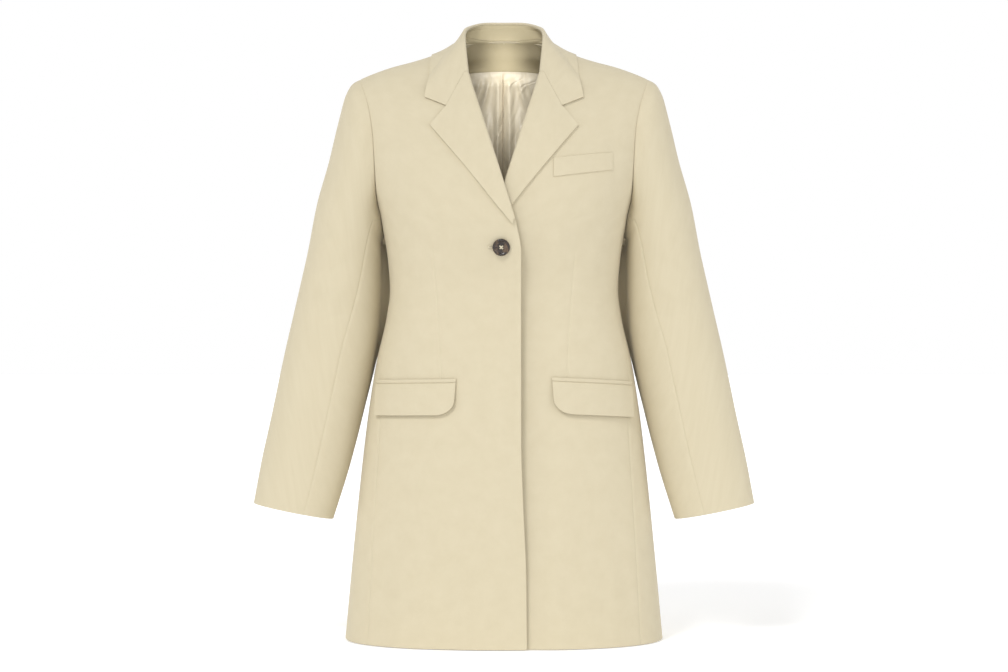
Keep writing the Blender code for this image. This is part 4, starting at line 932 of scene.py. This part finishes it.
CollarRow = namedtuple("CollarRow", "x y z in_x in_y up_x up_y up_z turn bow edge_x edge_z back")
COLLAR = [
    CollarRow(0.0562, -0.046, 0.0045, -0.95, 0.20, 0.30, -0.60, 0.75, 100, 0.0005, 0.1040, -0.0440, False),
    CollarRow(0.0556, -0.010, 0.0246, -1.00, 0.05, 0.12, -0.20, 0.96, 120, -0.0042, 0.0972, -0.0108, True),
    CollarRow(0.0465, 0.032, 0.0366, -0.80, -0.60, 0.05, 0.00, 1.00, 145, -0.0015, 0.0790, -0.0066, True),
    CollarRow(0.0285, 0.0606, 0.0446, -0.38, -0.92, 0.00, 0.00, 1.00, 165, 0.0012, 0.0450, 0.0020, True),
    CollarRow(0.0000, 0.066, 0.0456, 0.00, -1.00, 0.00, 0.00, 1.00, 170, 0.0018, 0.0000, 0.0065, True),
]


def through(keys, places, after):
    """Rows on a smooth curve through key rows, at fractional places among them."""
    keys = np.concatenate((keys[:1], keys, after[None]))
    index = np.minimum(places.astype(int), len(keys) - 4)
    t = (places - index).reshape((-1,) + (1,) * (keys.ndim - 1))
    a, b, c, d = (keys[index + step] for step in range(4))
    cubic = (3 * b - a - 3 * c + d) * t ** 3
    return 0.5 * (2 * b + (c - a) * t + (2 * a - 5 * b + 4 * c - d) * t ** 2 + cubic)


def front_key():
    """The fall's first key row, along the gorge and the notch to its tip."""
    roll_x = curve(ROLL_LINE, "z", "x", GORGE_LEVEL)
    point, normal = chest(roll_x, np.array(GORGE_LEVEL), -1)
    inward = towards(unit(np.cross(normal, roll_direction(-1))), np.array((-1.0, 0.0, 0.0)))
    centre = point + normal * SEAM_GAP - inward * FOLD_RADIUS
    turns = np.linspace(FOLD_START, FOLD_END, FOLD_COLUMNS)
    arc, arc_facing = fold_arc(centre, inward, normal, FOLD_RADIUS, turns)
    chord_x = roll_x + (COLLAR_TIP[0] - roll_x) * NOTCH_SHARE
    chord_z = GORGE_LEVEL + (COLLAR_TIP[1] - GORGE_LEVEL) * NOTCH_SHARE
    bend = (NOTCH[0] - chord_x, NOTCH[1] - chord_z)
    laid, laid_facing = laid_back((roll_x + FOLD_RADIUS, GORGE_LEVEL), COLLAR_TIP, bend, FOLD_RADIUS, -1)
    return np.concatenate((arc, laid)), np.concatenate((arc_facing, laid_facing))


def neck_key(row):
    """A key row of the fall: round the fold over the stand, then down to its edge on the coat."""
    inward = unit(np.array((row.in_x, row.in_y, 0.0)))
    upward = unit(np.array((row.up_x, row.up_y, row.up_z)))
    turns = np.linspace(NECK_FOLD_START, row.turn, FOLD_COLUMNS)
    arc, arc_facing = fold_arc(np.array((row.x, row.y, row.z)), inward, upward, NECK_FOLD_RADIUS, turns)
    edge = torso(row.edge_x, row.edge_z, row.back)
    along = torso(row.edge_x + STEP, row.edge_z, row.back) - edge
    across = edge - torso(row.edge_x, row.edge_z - STEP, row.back)
    normal = towards(unit(np.cross(along, across)), np.array((0.2, 1.0 if row.back else -1.0, 0.8)))
    share = TO_EDGE[:, None]
    facing = unit(arc_facing[-1] + (normal - arc_facing[-1]) * share)
    down = arc[-1] + (edge + normal * COLLAR_EDGE_REST - arc[-1]) * share
    down = down + facing * row.bow * np.sin(math.pi * share)
    return np.concatenate((arc, down)), np.concatenate((arc_facing, facing))


def resting_level(x, y):
    """The height of the shoulder cloth under points of the plan."""
    high = curve(SHOULDER_RIDGE, "x", "z", np.abs(x))
    low = high - SHOULDER_DEPTH
    for _ in range(HALVINGS):
        middle = (high + low) / 2
        outside = np.abs(torso(x, middle, back=y > 0)[..., 1]) > np.abs(y)
        low, high = np.where(outside, middle, low), np.where(outside, high, middle)
    return low


def mirrored(row):
    """The same row on the other half of the coat."""
    return row * np.array((-1.0, 1.0, 1.0))


def both_halves(half):
    """A grid that ends at the centre back, with its mirror image before it."""
    return np.concatenate((mirrored(half), half[-2::-1]))


keys = [front_key()] + [neck_key(row) for row in COLLAR]
key_faces = np.array([face for face, facing in keys])
key_facings = np.array([facing for face, facing in keys])

seam_z = np.array((-0.026, -0.014, -0.003))
seam_x = np.array((0.0675, 0.056, 0.030, 0.0))
front_seam = torso(curve(ROLL_LINE, "z", "x", seam_z) + ROLL_INSET, seam_z)
neck_seam = np.concatenate((front_seam, torso(seam_x, neckline_level(seam_x), True)))
share = np.linspace(0.0, 1.0, 81)
seam = through(neck_seam, share * (len(neck_seam) - 1), mirrored(neck_seam[-2]))
fold_end = key_faces[:, 0]
top = through(fold_end, (STAND_START + (1 - STAND_START) * share) * len(COLLAR), mirrored(fold_end[-2]))
outward = unit(seam * np.array((1.0, 1.0, 0.0)))
stand_lift = STAND_FRONT_LIFT + (STAND_BACK_LIFT - STAND_FRONT_LIFT) * ease(*STAND_LIFT_SHARES, share)
low = seam + stand_lift[:, None] * np.array((0.0, 0.0, 1.0)) - outward * CLOTH
down = np.array((0.0, 0.09, 0.17, 0.21, 0.235, STAND_LINE, 0.285, 0.31, 0.36, 0.48, 0.62, 0.76, 0.88,
                 0.95, 1.0))
face = top[:, None] + (low - top)[:, None] * down[None, :, None]
facing = grid_normals(face, -outward[:, None] + 0 * face)
line = STAND_LINE_DEPTH * np.exp(-((down - STAND_LINE) / STAND_LINE_WIDTH) ** 2)
face = sewn(face - facing * line[None, :, None], facing, ("last column",))
# the stand takes the twill painted a shade deeper, for the shade it lies in inside the neck
piece = cloth_wall("collar_stand_cloth", both_halves(face), both_halves(facing), painted_shade_twill)
dress(piece, "collar_stand")

places = np.linspace(0.0, len(COLLAR), 101)
face = through(key_faces, places, mirrored(key_faces[-2]))
facing = unit(through(key_facings, places, mirrored(key_facings[-2])))
reverse = face - facing * FALL_CLOTH
slope = 0.5 + 0.5 * np.minimum(np.abs(reverse[..., 1]) / 0.05, 1.0)
short = resting_level(reverse[..., 0], reverse[..., 1]) + COLLAR_REST * (1.0 + slope) - reverse[..., 2]
short[:, :FOLD_COLUMNS] = 0.0
lift = np.maximum(short, 0.0) * ease(0.0, 0.6, places)[:, None]
face = both_halves(face + lift[..., None] * np.array((0.0, 0.0, 1.0)))
facing = grid_normals(face, both_halves(facing))
piece = cloth_wall("collar_fall_cloth", face, facing, coat_twill, thickness=FALL_CLOTH,
                   free=("first row", "last row", "last column"))
dress(piece, "collar_fall")

# ---------------------------------------------------------------- hip pockets
# Straight flapped pockets: a narrow jet bound along the top of the opening, and a flap with a
# rounded front corner hanging from under it, bagged out and pressed.
FLAP_FRONT_OUT = 0.0655
FLAP_REAR_ANGLE = 72.0
FLAP_TOP_LEVEL = -0.4652
FLAP_HEIGHT = 0.0445
FLAP_CORNER = 0.020
FLAP_CORNER_ANGLE = 9.0
FLAP_TAPER = 0.11
FLAP_FALL = {-1: 0.0026, 1: 0.0072}
FLAP_RISE = {-1: 0.0004, 1: 0.0026}
POCKET_GAP = 0.0008
JET_HEIGHT = 0.0050
JET_CLOTH = 0.0016
JET_ROUNDING = 0.0009
FLAP_CLOTH = 0.0018
FLAP_REST = 0.0022
FLAP_OVER_JET = 0.0012
FLAP_SPRING = 0.0020
FLAP_PRESS = 0.0004
FLAP_PRESS_WIDTH = 0.006


def skirt(angle, z, side):
    """Points of the coat's outside round the skirt, and the way it faces there."""
    along = around(angle + 0.05, z) - around(angle - 0.05, z)
    across = around(angle, z + STEP) - around(angle, z - STEP)
    points = around(angle, z)
    normal = towards(unit(np.cross(along, across)), points * np.array((1.0, 1.0, 0.0)))
    lift = front_lift(points[..., 0], z, side) + folds(COAT_FOLDS, angle, z, side)
    return points + normal * lift[..., None], normal


flap_half_width = curve(TORSO, "z", "half_width", FLAP_TOP_LEVEL)
flap_start = math.degrees(math.asin(FLAP_FRONT_OUT / flap_half_width))


def pocket_top(angle, side):
    """The level of a pocket's top round the skirt, sloping down to its rear."""
    slope = FLAP_RISE[side] - FLAP_FALL[side] * (angle - flap_start) / (FLAP_REAR_ANGLE - flap_start)
    return FLAP_TOP_LEVEL + slope


corner_angles = FLAP_CORNER_ANGLE * (1 - np.cos(np.linspace(0.0, math.pi / 2, 15)))
corner_end = flap_start + FLAP_CORNER_ANGLE
flap_angles = np.concatenate((flap_start + corner_angles, np.linspace(corner_end, FLAP_REAR_ANGLE, 52)[1:]))
for word, side in (("right", -1), ("left", 1)):
    angle, drop = np.meshgrid(flap_angles, np.linspace(0.0, 1.0, 9))
    points, normals = skirt(angle, pocket_top(angle, side) - JET_HEIGHT * drop, side)
    off = POCKET_GAP + JET_CLOTH + JET_ROUNDING * np.sin(math.pi * drop)
    piece = cloth_wall("pocket_jet_cloth_" + word, points + normals * off[..., None], normals, coat_twill,
                       side, thickness=JET_CLOTH, free=("first row", "first column"))
    dress(piece, "pocket_jet_" + word)

    angle, drop = np.meshgrid(flap_angles, np.linspace(0.0, 1.0, 27))
    corner = np.maximum(1.0 - (angle - flap_start) / FLAP_CORNER_ANGLE, 0.0)
    height = FLAP_HEIGHT - FLAP_CORNER * (1.0 - np.sqrt(1.0 - corner ** 2))
    level = pocket_top(angle, side) - JET_HEIGHT - height * drop
    points, normals = skirt(flap_start + (angle - flap_start) * (1.0 - FLAP_TAPER * drop), level, side)
    inset = edge_distance(points, ("first column", "last column", "last row"))
    off = FLAP_REST + FLAP_OVER_JET * ease(0.0, 0.2, drop) + FLAP_SPRING * drop ** 2
    off = off - FLAP_PRESS * ease(0.0, FLAP_PRESS_WIDTH, inset)
    piece = cloth_wall("pocket_flap_cloth_" + word, points + normals * off[..., None], normals, coat_twill,
                       side, thickness=FLAP_CLOTH, free=("first column", "last column", "last row"))
    dress(piece, "pocket_flap_" + word)

# ---------------------------------------------------------------- breast welt
# A slanted welt on the wearer's left breast, of the coat's twill, folded along its top and sewn
# down flat at its ends.
WELT_CORNERS = ((0.0676, -0.1889), (0.1500, -0.1771), (0.1500, -0.1526), (0.0676, -0.1629))
WELT_CLOTH = 0.0010
WELT_REST = 0.0013

low_in, low_out, high_out, high_in = np.array(WELT_CORNERS)
out, up = np.meshgrid(np.linspace(0.0, 1.0, 40), np.linspace(0.0, 1.0, 14))
low = low_in + (low_out - low_in) * out[..., None]
high = high_in + (high_out - high_in) * out[..., None]
place = low + (high - low) * up[..., None]
points, normals = chest(place[..., 0], place[..., 1], 1)
piece = cloth_wall("chest_welt_cloth", points + normals * WELT_REST, normals, coat_twill,
                   thickness=WELT_CLOTH, free=("first row", "last row", "first column", "last column"))
dress(piece, "chest_welt")

# ---------------------------------------------------------------- button
# One dark horn button, turned with a raised rim and a dished middle, sewn through four holes on
# a wound thread shank that stands up through a worked buttonhole.
BUTTON_LEVEL = -0.2835
BUTTON_OUT = 0.0037
BUTTON_STAND_OFF = 0.0010
BUTTON_HOLE_RADIUS = 0.0010
BUTTON_HOLE_SPREAD = 0.0025
SHANK_RADIUS = 0.0012
SHANK_CLEAR = 0.0004
SHANK_THREAD = 0.0006
HOLE_SIDES = 20
DRILL_LEVEL = 0.003
TOOL_LENGTH = 0.02
THREAD_RADIUS = 0.00032
STRANDS = (-0.0005, 0.0, 0.0005)
STITCH_CROWN = 0.0031
STITCH_DIP = 0.0022
WELD_DISTANCE = 0.00001
BUTTON_OUTLINE = np.array((
    (0.0, 0.0), (0.0085, 0.0), (0.0108, 0.0009), (0.0119, 0.0022), (0.0116, 0.0036), (0.0106, 0.0042),
    (0.0092, 0.0040), (0.0074, 0.0028), (0.0040, 0.0025), (0.0, 0.0024)))


def button_frame():
    """The button's place on the lapping front: across, up and out along the cloth's normal."""
    point, normal = chest(np.array(BUTTON_OUT), np.array(BUTTON_LEVEL), -1)
    point, normal = mirrored(point), mirrored(normal)
    across = unit(np.cross(np.array((0.0, 0.0, 1.0)), normal))
    across = towards(across, np.array((1.0, 0.0, 0.0)))
    upward = towards(unit(np.cross(normal, across)), np.array((0.0, 0.0, 1.0)))
    turn = np.eye(4)
    turn[:3, 0], turn[:3, 1], turn[:3, 2], turn[:3, 3] = across, upward, normal, point
    return Matrix(turn.tolist())


def turned(name, outline, finish, count):
    """A turned piece: an outline of radius and height spun round, at the button's place."""
    mesh = bpy.data.meshes.new(name)
    links = [(i, i + 1) for i in range(len(outline) - 1)]
    mesh.from_pydata([(radius, 0.0, height) for radius, height in outline], links, [])
    piece = piece_from(mesh, finish)
    bpy.ops.object.mode_set(mode="EDIT")
    bpy.ops.mesh.select_all(action="SELECT")
    bpy.ops.mesh.spin(steps=count, angle=math.tau, center=(0.0, 0.0, 0.0), axis=(0.0, 0.0, 1.0))
    bpy.ops.mesh.select_all(action="SELECT")
    bpy.ops.mesh.remove_doubles(threshold=WELD_DISTANCE)
    bpy.ops.mesh.normals_make_consistent(inside=False)
    bpy.ops.object.mode_set(mode="OBJECT")
    bpy.ops.object.shade_smooth_by_angle(angle=math.radians(50))
    mesh.transform(button_frame())
    return piece


def cut_out(piece, tool):
    """Cut a tool that stands at the button's place out of a piece."""
    bpy.ops.object.transform_apply(location=True, rotation=True, scale=True)
    tool.data.transform(button_frame())
    cut = piece.modifiers.new("cut", "BOOLEAN")
    cut.object = tool
    select_only(piece)
    bpy.ops.object.modifier_apply(modifier="cut")
    bpy.data.objects.remove(tool)


def horn(name, dark, streak):
    """Buffalo horn, turned and polished: nearly black with brown growth streaks, and glossy."""
    finish, tree, shader = new_finish(name, Roughness=0.27, IOR=1.56)
    place = add_node(tree, "TexCoord").outputs["Object"]
    # growth streaks about 3 mm apart, drawn out along the horn
    stretched = add_node(tree, "Mapping", {"Vector": place}, Scale=(150.0, 150.0, 60.0),
                         Rotation=(0.0, 0.7, 0.0))
    growth = add_node(tree, "TexNoise", {"Vector": stretched.outputs[0]}, Scale=1.0, Detail=4.0,
                      Distortion=1.5)
    ramp = add_node(tree, "ValToRGB", {0: growth.outputs[0]})
    ramp.color_ramp.elements[0].position, ramp.color_ramp.elements[0].color = 0.45, hex_colour(dark)
    ramp.color_ramp.elements[1].position, ramp.color_ramp.elements[1].color = 0.72, hex_colour(streak)
    tree.links.new(ramp.outputs[0], shader.inputs["Base Color"])
    return finish


def spun_thread(name, colour):
    """Polyester-cotton sewing thread: two plies twisted, softly lustrous, with a fine slant."""
    finish, tree, shader = new_finish(name, Roughness=0.6, Sheen_Weight=0.2)
    place = add_node(tree, "TexCoord").outputs["Object"]
    # plies 0.3 mm apart, with painted shade darkening the grooves between them
    plies = add_node(tree, "TexWave", {"Vector": place}, {"bands_direction": "DIAGONAL"},
                     Scale=math.tau / (20 * 0.0003), Distortion=1.0)
    shade = [channel * 0.7 for channel in hex_colour(colour)[:3]] + [1.0]
    dye(tree, shader, plies.outputs["Fac"], hex_colour(colour), shade)
    return finish


def thread_lengths(name, paths, radius, finish, reference, sides=6):
    """Lengths of thread along paths, as one mesh, at the button's place."""
    vertices, faces = [], []
    turn = np.linspace(0.0, math.tau, sides, endpoint=False)[None, :, None]
    for path in paths:
        path = np.asarray(path, dtype=float)
        tangent = unit(np.gradient(path, axis=0))
        aside = unit(np.cross(tangent, np.array(reference, dtype=float)))
        other = np.cross(tangent, aside)
        rings = path[:, None] + radius * (aside[:, None] * np.cos(turn) + other[:, None] * np.sin(turn))
        start, last = len(vertices), len(vertices) + (len(path) - 1) * sides
        vertices += rings.reshape(-1, 3).tolist()
        for ring in range(len(path) - 1):
            for k in range(sides):
                here, onward = start + ring * sides + k, start + ring * sides + (k + 1) % sides
                faces.append((here, onward, onward + sides, here + sides))
        faces.append(tuple(range(start + sides - 1, start - 1, -1)))
        faces.append(tuple(range(last, last + sides)))
    mesh = bpy.data.meshes.new(name)
    mesh.from_pydata(vertices, [], faces)
    piece = piece_from(mesh, finish)
    bpy.ops.object.mode_set(mode="EDIT")
    bpy.ops.mesh.select_all(action="SELECT")
    bpy.ops.mesh.normals_make_consistent(inside=False)
    bpy.ops.object.mode_set(mode="OBJECT")
    bpy.ops.object.shade_smooth()
    mesh.transform(button_frame())
    return piece


dark_horn = horn("polished dark horn", "#241913", "#6C5640")
cream_thread = spun_thread("cream sewing thread", "#E6DCC0")
outline = through(BUTTON_OUTLINE, np.linspace(0.0, len(BUTTON_OUTLINE) - 1.0, 46), BUTTON_OUTLINE[-1])
outline = np.maximum(outline, 0.0) + np.array((0.0, BUTTON_STAND_OFF))
button = turned("horn_button", outline, dark_horn, 72)
for right, up in ((1, 1), (-1, 1), (-1, -1), (1, -1)):
    bpy.ops.object.select_all(action="DESELECT")
    bpy.ops.mesh.primitive_cylinder_add(vertices=HOLE_SIDES, radius=BUTTON_HOLE_RADIUS, depth=TOOL_LENGTH)
    drill = bpy.context.active_object
    drill.location = (right * BUTTON_HOLE_SPREAD, up * BUTTON_HOLE_SPREAD, DRILL_LEVEL)
    cut_out(button, drill)
dress(button, "button")

over = chest(np.array(BUTTON_OUT), np.array(BUTTON_LEVEL), -1)
under = chest(np.array(-BUTTON_OUT), np.array(BUTTON_LEVEL), 1)[0]
reach = float(np.dot(mirrored(over[0]) - under, mirrored(over[1])))
height = np.linspace(SHANK_CLEAR - reach, BUTTON_STAND_OFF - 0.0001, 40)
windings = SHANK_RADIUS * (0.94 + 0.06 * np.cos(height / SHANK_THREAD * math.tau))
windings[0] = windings[-1] = 0.0
shank = turned("thread_shank", np.stack((windings, height), axis=-1), cream_thread, 20)
dress(shank, "button_shank")

stitches = []
for right, up in ((1, 1), (-1, 1)):
    for strand in STRANDS:
        along = np.linspace(-1.0, 1.0, 15)
        level = BUTTON_STAND_OFF + STITCH_CROWN - STITCH_DIP * np.abs(along) ** 6
        x = along * right * BUTTON_HOLE_SPREAD + strand * up
        y = along * up * BUTTON_HOLE_SPREAD - strand * right
        stitches.append(np.stack((x, y, level), axis=-1))
cross = thread_lengths("button_cross_stitch", stitches, THREAD_RADIUS, cream_thread, (0.0, 0.0, 1.0))
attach(cross, "root")

# ---------------------------------------------------------------- buttonhole
# A slit through the lapping front, its edges worked over with close purl stitches in matching
# thread and fanned round its outer end.
BUTTONHOLE_ENDS = (-0.0164, 0.0037)
BUTTONHOLE_HALF_HEIGHT = 0.0003
STITCH_SPACING = 0.00062
STITCH_LENGTH = 0.0013
PURL_RADIUS = 0.00030

bpy.ops.object.select_all(action="DESELECT")
bpy.ops.mesh.primitive_cube_add(size=1.0)
knife = bpy.context.active_object
knife.scale = (BUTTONHOLE_ENDS[1] - BUTTONHOLE_ENDS[0], 2 * BUTTONHOLE_HALF_HEIGHT, TOOL_LENGTH)
knife.location = (sum(BUTTONHOLE_ENDS) / 2, 0.0, 0.0)
cut_out(bpy.data.objects["front_cloth_right"], knife)

purls = []
rise = np.array((-0.0008, 0.0002, 0.0005, 0.0004, 0.0001))
for x in np.arange(BUTTONHOLE_ENDS[0], BUTTONHOLE_ENDS[1], STITCH_SPACING):
    for up in (-1, 1):
        reach = np.array((0.0, 0.0001, 0.0005, 0.0010, STITCH_LENGTH)) + BUTTONHOLE_HALF_HEIGHT
        purls.append(np.stack((np.full(5, x), up * reach, rise), axis=-1))
for turn in np.radians(np.arange(100, 261, 20)):
    reach = np.array((0.0, 0.0003, 0.0008, 0.0013, STITCH_LENGTH + 0.0004))
    purls.append(np.stack((BUTTONHOLE_ENDS[0] + reach * np.cos(turn), reach * np.sin(turn), rise), axis=-1))
purl = thread_lengths("buttonhole_purl", purls, PURL_RADIUS, cream_thread, (1.0, 0.02, 0.3))
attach(purl, "root")

# ---------------------------------------------------------------- floor and light
# A white studio floor just under the hem, with broad soft lights in front, at the sides and behind.
# A small light inside the neck stands for what the pale studio sends in there.
FLOOR_LEVEL = HEM_LEVEL - 0.001
FLOOR_SIZE = 40.0
INNER_LIGHT_SIZE = (0.03, 0.13)
INNER_LIGHT_ENERGY = 0.025
INNER_LIGHT_SPREAD = 80.0
INNER_LIGHT_PLACE = (0.0, 0.008, -0.050)

# Each broad light's turn to the right of the camera, lift above it and spread are in degrees.
Sun = namedtuple("Sun", "name turn lift strength spread")
SUNS = [
    Sun("front light", 0.0, 8.0, 0.115, 12.0),
    Sun("key light", -30.0, 44.0, 0.39, 16.0),
    Sun("left light", -62.0, 25.0, 0.14, 50.0),
    Sun("right light", 60.0, 25.0, 0.28, 50.0),
    Sun("back light", 180.0, 28.0, 0.34, 80.0),
]

floor_finish = new_finish("white studio floor", Base_Color=(0.93, 0.93, 0.93, 1.0), Roughness=0.9,
                          Emission_Color=(1.0, 1.0, 1.0, 1.0), Emission_Strength=0.27)[0]
bpy.ops.object.select_all(action="DESELECT")
bpy.ops.mesh.primitive_plane_add(size=FLOOR_SIZE, location=(0.0, 0.0, FLOOR_LEVEL))
floor = bpy.context.active_object
floor.name = "studio_floor"
floor.data.materials.append(floor_finish)

for sun in SUNS:
    light = bpy.data.lights.new(sun.name, "SUN")
    light.energy = sun.strength * math.pi
    light.angle = math.radians(sun.spread)
    lamp = bpy.data.objects.new(sun.name, light)
    lamp.rotation_euler = (math.radians(90.0 - sun.lift), 0.0, math.radians(sun.turn))
    bpy.context.scene.collection.objects.link(lamp)
inner_light = bpy.data.lights.new("inner light", "AREA")
inner_light.shape = "RECTANGLE"
inner_light.size, inner_light.size_y = INNER_LIGHT_SIZE
inner_light.energy = INNER_LIGHT_ENERGY
inner_light.spread = math.radians(INNER_LIGHT_SPREAD)
inner_lamp = bpy.data.objects.new("inner light", inner_light)
inner_lamp.location = INNER_LIGHT_PLACE
inner_lamp.rotation_euler = (math.pi / 2, 0.0, 0.0)
inner_lamp.visible_camera = False
bpy.context.scene.collection.objects.link(inner_lamp)
world = bpy.data.worlds.new("studio")
world.use_nodes = True
air = world.node_tree
seen = add_node(air, "LightPath")
strength = add_node(air, "MapRange", {0: seen.outputs["Is Camera Ray"]}, To_Min=0.37, To_Max=1.0)
air.links.new(strength.outputs[0], air.nodes["Background"].inputs["Strength"])
air.nodes["Background"].inputs["Color"].default_value = (1.0, 1.0, 1.0, 1.0)
bpy.context.scene.world = world
bpy.context.scene.view_settings.view_transform = "Standard"
